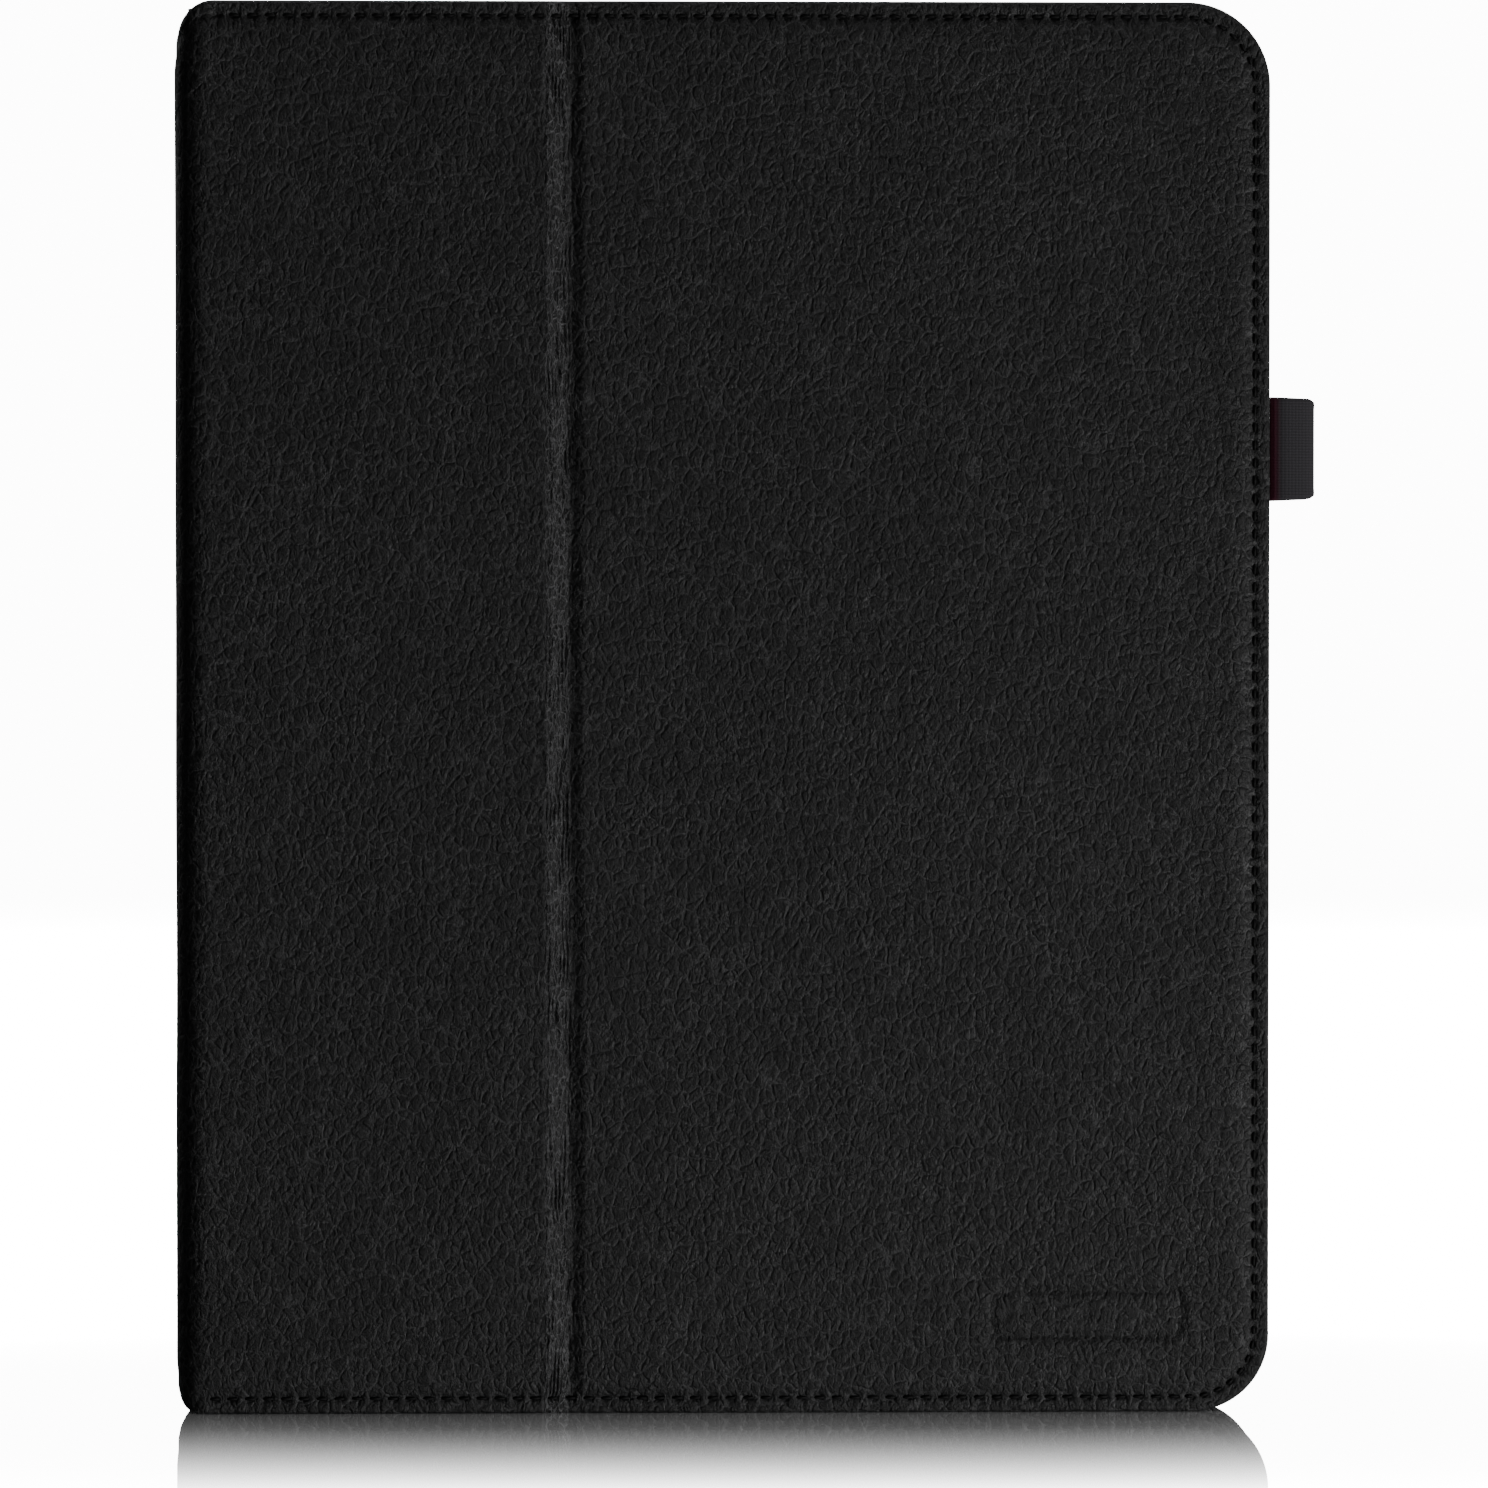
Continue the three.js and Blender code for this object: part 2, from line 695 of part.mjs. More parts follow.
// Leather, foam, board and lining between two folds, or between the crease and the free edge.
function frontPanel(group, name, x0, x1, cutBoard) {
  const boardX0 = x0 + boardFoldGap;
  const boardX1 = x1 === coverWidth ? x1 : x1 - boardFoldGap;
  const foamStart = leather + glueGap;
  add(group, `${name}_leather`, turnedLeather("front", x0, x1), leatherBlack);
  add(group, `${name}_foam`, sheet("front", boardInset, boardX0, boardX1, foamStart, foamStart + foam), foamGrey);
  add(
    group,
    `${name}_board`,
    cutBoard(sheet("front", boardInset, boardX0, boardX1, boardStart, boardEnd)),
    boardGrey,
  );
  add(group, `${name}_lining`, sheet("front", liningInset, x0, x1, liningStart, coverStack), suedeBlack);
}

frontPanel(narrowPanel, "narrow_panel", foldRadius, creaseX0, (sheetOfBoard) => sheetOfBoard);
for (const [place, z0, z1] of [
  ["bottom", -far, coverHeight / 2],
  ["top", coverHeight / 2, coverHeight + far],
]) {
  const half = block(-far, coverWidth, -far, thickness, z0, z1);
  const thread = hemThread("front", foldRadius, creaseX0).intersect(half);
  add(narrowPanel, `narrow_panel_thread_${place}`, thread, threadBlack);
}

const sleepMagnetX = tabletX1 - sleepMagnetInset;
const magnetY0 = boardStart;
const magnetY1 = boardStart + coverMagnet;
frontPanel(widePanel, "wide_panel", creaseX1, coverWidth, (sheetOfBoard) => {
  let cut = sheetOfBoard.subtract(
    pegY(sleepMagnetX, sleepMagnetHeight, sleepMagnetRadius + magnetClearance, boardStart - far, boardEnd + far),
  );
  for (const z of Object.values(magnetHeights)) {
    cut = cut.subtract(barMagnet(z, magnetClearance, boardStart - far, boardEnd + far));
  }
  return cut;
});
for (const [place, z] of Object.entries(magnetHeights)) {
  add(widePanel, `closure_magnet_${place}`, barMagnet(z, 0, magnetY0, magnetY1), magnetSteel);
}
add(
  widePanel,
  "sleep_magnet",
  pegY(sleepMagnetX, sleepMagnetHeight, sleepMagnetRadius, magnetY0, magnetY1),
  magnetSteel,
);
add(widePanel, "wide_panel_thread", hemThread("front", creaseX1, coverWidth), threadBlack);

// The crease: leather and lining alone, pressed together between the two boards.
const creaseStart = creaseX0 + foldGap;
const creaseEnd = creaseX1 - foldGap;
const creaseLiningDepth = creaseDepth + leather + glueGap;
add(
  widePanel,
  "crease_leather",
  sheet("front", 0, creaseStart, creaseEnd, creaseDepth, creaseDepth + leather),
  leatherBlack,
);
add(
  widePanel,
  "crease_lining",
  sheet("front", liningInset, creaseStart, creaseEnd, creaseLiningDepth, creaseLiningDepth + lining),
  suedeBlack,
);

export default root;
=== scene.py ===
# %% [markdown]
# # A folio case for a tablet
#
# The real case is a book cover for a tablet: two stiff boards with thin foam on them, one sheet of
# pebbled black leather over both, a soft lining inside, and a sleeve with a window for the screen.
# Its front cover folds at a crease, and its free edge carries an elastic loop for a stylus.
#
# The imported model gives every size, place and joint. Everything here is worked out in
# millimetres from one corner of the case, and moved to the frame's own metres at the last moment.

# %% Load the frame
import json

import bmesh
import bpy
import numpy as np
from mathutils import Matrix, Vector


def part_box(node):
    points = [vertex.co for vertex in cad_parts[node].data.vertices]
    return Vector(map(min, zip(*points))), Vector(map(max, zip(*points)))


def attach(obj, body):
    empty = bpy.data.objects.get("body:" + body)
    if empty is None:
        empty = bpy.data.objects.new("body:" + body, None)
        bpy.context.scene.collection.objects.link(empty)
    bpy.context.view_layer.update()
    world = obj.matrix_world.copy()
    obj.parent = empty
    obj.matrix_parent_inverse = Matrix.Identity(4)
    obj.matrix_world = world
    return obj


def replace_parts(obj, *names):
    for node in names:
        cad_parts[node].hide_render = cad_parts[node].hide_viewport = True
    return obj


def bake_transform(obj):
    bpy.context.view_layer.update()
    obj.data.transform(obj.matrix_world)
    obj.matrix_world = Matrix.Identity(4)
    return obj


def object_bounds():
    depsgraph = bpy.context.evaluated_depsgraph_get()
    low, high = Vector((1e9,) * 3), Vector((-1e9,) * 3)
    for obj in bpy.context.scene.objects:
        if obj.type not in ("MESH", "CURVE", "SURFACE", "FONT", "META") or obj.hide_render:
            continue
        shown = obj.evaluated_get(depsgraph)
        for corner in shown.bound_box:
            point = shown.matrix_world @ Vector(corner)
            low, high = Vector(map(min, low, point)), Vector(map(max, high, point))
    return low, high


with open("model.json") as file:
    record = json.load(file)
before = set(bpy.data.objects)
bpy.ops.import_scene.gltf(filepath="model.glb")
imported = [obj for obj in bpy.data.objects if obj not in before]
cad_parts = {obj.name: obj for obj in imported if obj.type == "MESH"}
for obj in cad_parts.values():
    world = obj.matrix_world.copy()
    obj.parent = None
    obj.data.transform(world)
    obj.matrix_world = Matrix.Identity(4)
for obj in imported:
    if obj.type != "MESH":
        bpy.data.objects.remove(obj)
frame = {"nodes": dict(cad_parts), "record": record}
cad_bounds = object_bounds()
MM = 0.001


def box_mm(node):
    """A node's lowest and highest corners in millimetres, in the row frame."""
    low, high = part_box(node)
    return np.array(low) / MM, np.array(high) / MM


corner = np.array([box_mm("spine_leather")[0][0], *box_mm("wide_panel_leather")[0][1:]])


def case_box(node):
    """A node's corners in case millimetres: x from the spine's face, y from the front face, z up."""
    low, high = box_mm(node)
    return low - corner, high - corner


def to_frame(points):
    """Case millimetres to the frame's metres."""
    return (np.asarray(points, float) + corner) * MM


def node_points(node):
    """All corners of a CAD node's mesh, in case millimetres."""
    mesh = frame["nodes"][node].data
    places = np.empty(len(mesh.vertices) * 3)
    mesh.vertices.foreach_get("co", places)
    return places.reshape(-1, 3) / MM - corner


width, height = case_box("wide_panel_leather")[1][[0, 2]]
thickness = case_box("back_leather")[1][1]
crease_low, crease_high = (c[0] for c in case_box("crease_leather"))
fold_radius = case_box("narrow_panel_leather")[0][0]
lining_start = case_box("wide_panel_lining")[0][1]
cover_stack = case_box("wide_panel_lining")[1][1]
crease_mid = (crease_low + crease_high) / 2
print(f"case {width:.1f} x {thickness:.1f} x {height:.1f} mm")
print(f"crease from {crease_low:.1f} to {crease_high:.1f} mm")

# %% [markdown]
# ## Surfaces from arrays
#
# Blender can make a mesh by extruding and bevelling, but a sewn cover has a repeating, measured
# edge, so each piece is worked out as whole numpy arrays: a grid of points, and the quads that
# join neighbours in it. Two helpers are enough for every piece.


# %% Meshes from numpy
def grid_faces(rows, columns, first=0, around=False):
    """Quads of a grid stored row by row. around joins the last column to the first."""
    i = np.arange(rows - 1)[:, None] * columns
    j = np.arange(columns if around else columns - 1)
    k = (j + 1) % columns
    return first + np.stack([i + j, i + k, i + columns + k, i + columns + j], -1).reshape(-1, 4)


def make(name, points, faces, material, slot, flip=False):
    """A smooth mesh object from case millimetres. faces is a list of arrays of 3 or 4 columns."""
    faces = [f[:, ::-1] if flip else f for f in faces if len(f)]
    loops = np.concatenate([f.ravel() for f in faces]).astype(np.int32)
    sizes = np.concatenate([np.full(len(f), f.shape[1]) for f in faces])
    mesh = bpy.data.meshes.new(name)
    mesh.vertices.add(len(points))
    mesh.vertices.foreach_set("co", to_frame(points).astype(np.float32).ravel())
    mesh.loops.add(len(loops))
    mesh.loops.foreach_set("vertex_index", loops)
    mesh.polygons.add(len(sizes))
    mesh.polygons.foreach_set("loop_start", (np.cumsum(sizes) - sizes).astype(np.int32))
    mesh.update(calc_edges=True)
    mesh.polygons.foreach_set("use_smooth", np.ones(len(sizes), bool))
    mesh.materials.append(material)
    piece = bpy.data.objects.new(name, mesh)
    bpy.context.scene.collection.objects.link(piece)
    return piece


def step(x, low, high):
    """0 below low, 1 above high, and smooth between."""
    t = np.clip((np.asarray(x, float) - low) / (high - low), 0, 1)
    return t * t * (3 - 2 * t)


def bell(x, centre, half_width):
    """1 at centre, falling off smoothly on both sides."""
    return np.exp(-(((np.asarray(x, float) - centre) / half_width) ** 2))


def waves(u, v, seed, count=9):
    """A smooth random surface from -1 to 1: the mean of some sine waves in random directions."""
    draw = np.random.default_rng(seed)
    angle, phase = draw.uniform(0, 2 * np.pi, (2, count))
    rate = draw.uniform(0.6, 1.7, count)
    total = 0.0
    for turn, rise, start in zip(angle, rate, phase):
        total = total + np.sin(rise * (np.cos(turn) * u + np.sin(turn) * v) + start)
    return total / np.sqrt(count)


# %% [markdown]
# ## Shader maths as Python
#
# A node tree is hard to read and an expression is easy. This class wraps one output socket, so
# that `1 - mask` adds a Math node, and one method adds any other node.


# %% A socket that can be calculated with
class Value:
    """One output socket of a node tree, with sums and the nodes of the materials below."""

    def __init__(self, tree, socket):
        self.tree, self.socket = tree, socket

    def node(self, kind, settings=(), out=0, **inputs):
        """Adds a node of this kind, sets its settings, fills its inputs, and gives one output."""
        made = self.tree.nodes.new("ShaderNode" + kind)
        for key, setting in dict(settings).items():
            setattr(made, key, setting)
        for key, value in inputs.items():
            where = int(key[1:]) if key[1:].isdigit() else key.replace("_", " ")
            self.fill(made.inputs[where], value)
        return Value(self.tree, made.outputs[out])

    def fill(self, socket, value):
        if isinstance(value, Value):
            self.tree.links.new(value.socket, socket)
        else:
            socket.default_value = value

    def math(self, operation, *values):
        return self.node("Math", {"operation": operation}, **{f"i{k}": v for k, v in enumerate(values)})

    def __add__(self, other):
        return self.math("ADD", self, other)

    def __sub__(self, other):
        return self.math("SUBTRACT", self, other)

    def __rsub__(self, other):
        return self.math("SUBTRACT", other, self)

    def __mul__(self, other):
        return self.math("MULTIPLY", self, other)

    def __pow__(self, other):
        return self.math("POWER", self, other)

    __radd__, __rmul__ = __add__, __mul__

    def absolute(self):
        return self.math("ABSOLUTE", self)

    def at_least(self, low):
        return self.math("MAXIMUM", self, low)

    def at_most(self, high):
        return self.math("MINIMUM", self, high)

    def exponent(self):
        """e to the power of this."""
        return self.math("EXPONENT", self)

    def ramp(self, low, high):
        """0 below low and 1 above high, smooth between."""
        smooth = {"interpolation_type": "SMOOTHSTEP"}
        return self.node("MapRange", smooth, i0=self, i1=low, i2=high, i3=0.0, i4=1.0)

    def blend(self, low, high):
        """The colour low where this is 0 and high where it is 1."""
        mix = self.tree.nodes.new("ShaderNodeMix")
        mix.data_type = "RGBA"
        self.fill(mix.inputs[0], self)
        for socket, colour in ((mix.inputs[6], low), (mix.inputs[7], high)):
            self.fill(socket, colour if isinstance(colour, Value) else (*colour, 1.0))
        return Value(self.tree, mix.outputs[2])

    def vector(self, operation, other):
        return self.node("VectorMath", {"operation": operation}, i0=self, i1=other)

    def stretch(self, x, y, z):
        return self.vector("MULTIPLY", (x, y, z))

    def noise(self, scale, detail=2.0, rough=0.5, out=0):
        """Cloudy noise from 0 to 1, with scale clouds to the millimetre. out=1 gives a vector."""
        return self.node("TexNoise", (), out, Vector=self, Scale=scale, Detail=detail, Roughness=rough)

    def cells(self, scale):
        """Distance to the nearest border of Voronoi cells, scale of them to the millimetre."""
        return self.node("TexVoronoi", {"feature": "DISTANCE_TO_EDGE"}, Vector=self, Scale=scale)

    def part(self, axis):
        """The x, y or z of this place."""
        return self.node("SeparateXYZ", (), "xyz".index(axis), i0=self)


def surface(name, roughness, specular=0.5, sheen=0.0, metallic=0.0):
    material = bpy.data.materials.new(name)
    material.use_nodes = True
    tree = material.node_tree
    shader = tree.nodes["Principled BSDF"]
    shader.inputs["Roughness"].default_value = roughness
    shader.inputs["Metallic"].default_value = metallic
    shader.inputs["Specular IOR Level"].default_value = specular
    shader.inputs["Sheen Weight"].default_value = sheen
    shader.inputs["Sheen Roughness"].default_value = 0.4
    place = Value(tree, tree.nodes.new("ShaderNodeTexCoord").outputs["Object"])
    return material, place.stretch(1 / MM, 1 / MM, 1 / MM)


def finish(material, colour, roughness, height, depth):
    """Links colour, roughness and a bump whose height of 1 stands depth millimetres proud."""
    tree = material.node_tree
    shader = tree.nodes["Principled BSDF"]
    bump = height.node("Bump", (), Height=height, Distance=depth * MM, Strength=1.0)
    for key, value in (("Base Color", colour), ("Roughness", roughness), ("Normal", bump)):
        tree.links.new(value.socket, shader.inputs[key])
    return material


def grey(level, blue=1.0):
    """A grey whose blue is a little stronger, or weaker, than its red and green."""
    return (level, level, level * blue)


# %% [markdown]
# ## The leather
#
# The cover is coated leather with a pressed grain: soft pebbles two or three millimetres across,
# parted by thin pale wrinkles, with a finer net of wrinkles over them. Part of that paleness is a
# painted highlight, standing for light on the wrinkles' sides. A picture of leather would show its
# edges, so the grain is built from noise on the piece's own coordinates. Voronoi cells make the
# pebbles, once their borders have been bent by noise, and slow noise lets the wrinkles fade in
# some places, as on a real hide. In the crease the leather is crushed, so there the wrinkles stand
# upright and closer together. There they are painted much paler, a painted highlight for the light
# on the crease's slope.


# %% Leather
grain_depth = 0.30


class Grain:
    """The pressed grain at a place: wrinkles between pebbles, a finer net, rills and pores."""

    def __init__(self, place, fineness):
        wobble = place.noise(0.5, 4.0, 0.62, out=1).vector("SUBTRACT", (0.5, 0.5, 0.5))
        self.bent = place.vector("ADD", wobble.stretch(1.5, 1.5, 1.5))
        self.pebble = self.bent.stretch(1.0, 1.0, 0.78).cells(0.46 * fineness)
        self.crumb = self.bent.stretch(1.0, 1.0, 0.66).cells(1.0 * fineness)
        cloud = self.bent.stretch(1.0, 1.0, 0.6).noise(0.85 * fineness, 4.0, 0.62) * 2 - 1
        self.rill = 1 - cloud.absolute().ramp(0.0, 0.12)
        fade = place.noise(0.13).ramp(0.30, 0.64)
        patch = self.bent.noise(0.42).ramp(0.36, 0.64)
        self.wrinkle = (1 - self.pebble.ramp(0.0, 0.085)) * (0.35 + fade * 0.6)
        self.net = (1 - self.crumb.ramp(0.0, 0.15)) * (0.15 + patch * 0.7)
        self.pores = place.noise(5.0, 3.0, 0.75)
        self.slow = place.noise(0.035, 3.0, 0.55).ramp(0.3, 0.7)

    def height(self):
        """Pebbles and crumbs rise from their borders, rills sink, and pores roughen all."""
        domes = self.pebble.ramp(0.0, 0.20) * 0.44 + self.crumb.ramp(0.0, 0.24) * 0.22
        return domes - self.rill * 0.22 + self.pores * 0.14

    def tone(self):
        """How pale the leather is: palest in the wrinkles, paler in the net and the rills.
        That paleness is partly the grain's own colour and partly a painted highlight of the lit sides.
        """
        # Painted highlight: part of the lines' paleness stands for light on their sides; the rest is the
        # grain's own colour.
        lines = self.wrinkle * 0.50 + self.net * 0.40 + self.rill * 0.30
        return lines + (self.pores - 0.5) * 0.6 + self.slow * 0.06

    def roughness(self, gloss):
        """Rubbed wrinkles shine a little more than the pebbles beside them."""
        rubbed = gloss + 0.12 - self.wrinkle * 0.14 - self.net * 0.05
        return rubbed + (self.pores - 0.5) * 0.12 + (self.slow - 0.5) * 0.10


def leather_colour(tone):
    """Near black on the pebbles, dark grey in the palest wrinkles."""
    return tone.ramp(0.10, 1.0).blend(grey(0.0016, 1.03), grey(0.032, 1.03))


def leather_material(name, fineness=1.0, gloss=0.5, crease_at=None):
    """Black leather with its grain. With crease_at, the row frame's x of the crease in
    millimetres, it is crushed into upright wrinkles within 3 mm of that line. Those
    wrinkles are painted pale, a painted highlight for the light on the crease's slope."""
    material, place = surface(name, gloss, specular=0.34)
    grain = Grain(place, fineness)
    height, tone, rough = grain.height(), grain.tone(), grain.roughness(gloss)
    if crease_at is None:
        return finish(material, leather_colour(tone), rough, height, grain_depth)
    crushed = 1 - (place.part("x") - crease_at).absolute().ramp(1.0, 2.9)
    upright = grain.bent.stretch(1.3, 1.0, 0.26).noise(1.1, 3.0, 0.62) - 0.5
    crumple = 1 - grain.bent.stretch(1.5, 1.0, 0.5).cells(0.9).ramp(0.0, 0.13)
    line = ((1 - upright.absolute().ramp(0.0, 0.03)) * 0.65 + crumple * 0.6) * crushed
    # Painted highlight: the crease's wrinkle lines are added to the tone and then blended to pale grey,
    # standing for light on the slope of the crease.
    colour = leather_colour(tone * (1 - crushed * 0.5) + line)
    colour = (line * 0.85).blend(colour, grey(0.12, 1.025))
    height = height * (1 - crushed * 0.4) + line * 0.9 + upright * crushed * 1.2
    return finish(material, colour, rough, height, grain_depth)


def case_to_row(x):
    """A case x in millimetres to the row frame's, which the materials' coordinates are in."""
    return float(x + corner[0])


cover_leather = leather_material("cover_leather")
front_leather = leather_material("creased_cover_leather", crease_at=case_to_row(crease_mid - 1.9))
sleeve_leather = leather_material("sleeve_leather", fineness=1.5, gloss=0.56)
print("leathers:", cover_leather.name, front_leather.name, sleeve_leather.name)


# %% [markdown]
# ## The other finishes
#
# The lining is a short-napped microfibre, the loop is ribbed elastic, and the inner layers are
# plain boards, foam and plated magnets. Each gets the marks that tell it apart when it shows.


# %% Microfibre, elastic and thread
def microfibre_material(name):
    """Short nap: fine noise, upright fibres, and slow patches where a hand has stroked it."""
    material, place = surface(name, 0.95, specular=0.05, sheen=0.06)
    nap = place.noise(1.4, 4.0, 0.7)
    hand = place.stretch(1.0, 1.0, 0.6).noise(0.045, 3.0, 0.55)
    fibre = place.stretch(3.0, 3.0, 1.0).noise(1.7, 2.0, 0.6)
    shade = (nap * 0.6 + hand * 0.45 + fibre * 0.5).ramp(0.55, 1.05)
    colour = shade.blend(grey(0.012, 1.06), grey(0.036, 1.06))
    return finish(material, colour, 0.90 + nap * 0.1, nap * 0.6 + fibre * 0.6, depth=0.14)


def elastic_material(name):
    """Webbing: weft bands up its width under fuzz, and a dark red stripe beside the root."""
    material, place = surface(name, 0.78, specular=0.3, sheen=0.15)
    weft = place.node("TexWave", {"bands_direction": "Z"}, 1, Vector=place, Scale=0.62, Distortion=0.3)
    fuzz = place.noise(5.0, 2.0, 0.6)
    yarn = (weft * 0.3 + fuzz * 0.8).ramp(0.2, 0.9)
    colour = yarn.blend((0.008, 0.007, 0.009), (0.025, 0.023, 0.027))
    stripe = 1 - (place.part("x") - case_to_row(width + 1.5)).absolute().ramp(0.2, 1.9)
    colour = (stripe * 0.8).blend(colour, (0.075, 0.005, 0.021))
    return finish(material, colour, 0.72 + fuzz * 0.14, weft * 0.4 + fuzz * 0.5, depth=0.04)


def thread_material(name):
    """Black polyester thread; small noise stands for its plies."""
    material, place = surface(name, 0.7, specular=0.15)
    ply = place.noise(4.5, 1.0)
    colour = ply.ramp(0.35, 0.65).blend(grey(0.0012), grey(0.0040))
    return finish(material, colour, 0.62 + ply * 0.16, ply, depth=0.04)


# %% Board, foam, plastic and magnets
def board_material(name):
    """Grey board: long flat fibres and a few pale flecks."""
    material, place = surface(name, 0.85)
    fibre = place.stretch(0.4, 1.0, 2.4).noise(0.9, 4.0, 0.7)
    fleck = place.noise(2.6, 1.0).ramp(0.62, 0.70)
    colour = (fibre * 0.8 + fleck * 0.25).ramp(0.3, 0.9).blend((0.17, 0.15, 0.12), (0.34, 0.30, 0.25))
    return finish(material, colour, 0.80 + fibre * 0.12, fibre, depth=0.05)


def foam_material(name):
    """Open foam: dark walls between small cells."""
    material, place = surface(name, 0.9)
    pores = place.cells(1.7)
    colour = pores.ramp(0.0, 0.3).blend((0.03, 0.03, 0.031), (0.085, 0.085, 0.088))
    return finish(material, colour, 0.96 - pores * 0.2, pores, depth=0.15)


def plastic_material(name):
    """Black sheet plastic with a faint grain."""
    material, place = surface(name, 0.45)
    grain = place.noise(3.5)
    colour = grain.blend((0.018, 0.018, 0.019), (0.030, 0.030, 0.032))
    return finish(material, colour, 0.38 + grain * 0.2, grain, depth=0.02)


def magnet_material(name):
    """Plated metal, brushed along its length."""
    material, place = surface(name, 0.28, metallic=1.0)
    brushed = place.stretch(6.0, 6.0, 0.4).noise(2.0, 3.0)
    colour = brushed.blend((0.42, 0.42, 0.43), (0.62, 0.62, 0.63))
    return finish(material, colour, 0.2 + brushed * 0.2, brushed, depth=0.01)


# %% The finishes of the inner pieces
microfibre = microfibre_material("microfibre_lining")
elastic = elastic_material("ribbed_elastic")
thread = thread_material("twisted_thread")
inner_finish = {
    "foam": foam_material("padding_foam"),
    "board": board_material("grey_board"),
    "stiffener": plastic_material("stiffener_plastic"),
    "magnet": magnet_material("plated_magnet"),
    "microfibre": microfibre,
    "leather": sleeve_leather,
}
slots = {row["node"]: row["material_slot"] for row in frame["record"]["subparts"]}
for node, part in frame["nodes"].items():
    if slots[node] in inner_finish:
        part.data.materials.clear()
        part.data.materials.append(inner_finish[slots[node]])
print(f"{len(bpy.data.materials)} materials")

# %% [markdown]
# ## The edge of a cover
#
# At the edge of a real cover the leather is turned in over the board and sewn through, so a flat
# hem runs round it, a row of stitches sinks into a groove, and the padded face swells up inside
# them. The edge is a profile, which is carried along the outline: each point of it is an inset
# from the outline and a depth below the padded face.

# %% The edge profile
hem_depth = 0.62
hem_round = 0.75
turn_round = 0.55
turned_in = 2.2
stitch_inset = 2.7
stitch_pitch = 3.15
stitch_share = 0.56
stitch_ease = 0.16
margin = 16.0
fine_per_coarse = 3


def arc(centre, radius, start, end, count):
    """Points on a circle, in degrees, both ends included."""
    a = np.radians(np.linspace(start, end, count))
    return np.stack([centre[0] + radius * np.cos(a), centre[1] + radius * np.sin(a)], -1)


hem_insets = np.array([1.1, 1.5, 1.85, 2.15, 2.4, 2.7, 3.0, 3.35, 3.8, 4.5, 5.6, 7.5, 10.2,
                       12.0, 12.6, 13.1, 13.6, 14.1, 14.6, 15.3, margin])
edge_profile = np.concatenate([
    [[turned_in, lining_start - 0.02]],
    arc((turn_round, lining_start - 0.02 - turn_round), turn_round, 90, 180, 5),
    arc((hem_round, hem_depth + hem_round), hem_round, 180, 270, 6),
    np.stack([hem_insets, np.zeros_like(hem_insets)], -1),
])
on_face = np.concatenate([np.zeros(len(edge_profile) - len(hem_insets)), np.ones(len(hem_insets))])
print(f"edge profile of {len(edge_profile)} points")


def under_stitch(along):
    """1 where a stitch lies at this distance along a seam, 0 between two, and eased between."""
    phase = (along / stitch_pitch) % 1.0
    return step(phase, 0.0, stitch_ease) * (1 - step(phase, stitch_share, stitch_share + stitch_ease))


def face_depth(inset, along, sewn=1.0):
    """Depth of the outer face: hem, then groove, then a padded rise that crowns and settles.
    The groove is deep under each stitch and shallow between two stitches."""
    under = under_stitch(along) * sewn
    rise = step(inset, stitch_inset - 0.2, stitch_inset + 3.0)
    hem = hem_depth * (1 - rise)
    crown = 0.03 * bell(inset, stitch_inset + 3.4, 1.8)
    groove = (0.04 + 0.50 * under) * sewn * bell(inset, stitch_inset, 0.45)
    pucker = 0.07 * under * (bell(inset, stitch_inset + 1.0, 0.9) + bell(inset, stitch_inset - 1.1, 0.7))
    return hem + groove + pucker - crown


# %% [markdown]
# ## A sewn panel
#
# The profile alone makes a ring. Inside it the face is a plain grid, coarser than the stitches
# need, so three steps of the ring meet one step of the grid. At the rounded corners the ring's
# inner side closes to one point, as the spokes of a fan do.


# %% A ring round a grid
def fine_steps(coarse):
    """Splits each step of a coarse row of numbers into equal finer ones."""
    k = np.arange(fine_per_coarse) / fine_per_coarse
    return np.append((coarse[:-1, None] + np.diff(coarse)[:, None] * k).ravel(), coarse[-1])


def corner_run(x0, z0, dx, dz, radius, inner, count=46):
    """The outline from one side's end, round a corner, to the next side: two straight runs and an
    arc. (x0, z0) is the sharp corner, and (dx, dz) points from it into the panel."""
    straight = np.linspace(inner, radius, max(int(abs(inner - radius) / 0.4), 2) + 1)[1:]
    a = np.linspace(0, np.pi / 2, count)[1:-1]
    across = np.concatenate([straight, radius * (1 - np.sin(a)), np.zeros(len(straight))])
    up = np.concatenate([np.zeros(len(straight)), radius * (1 - np.cos(a)), straight[::-1]])
    return x0 + dx * across, z0 + dz * up


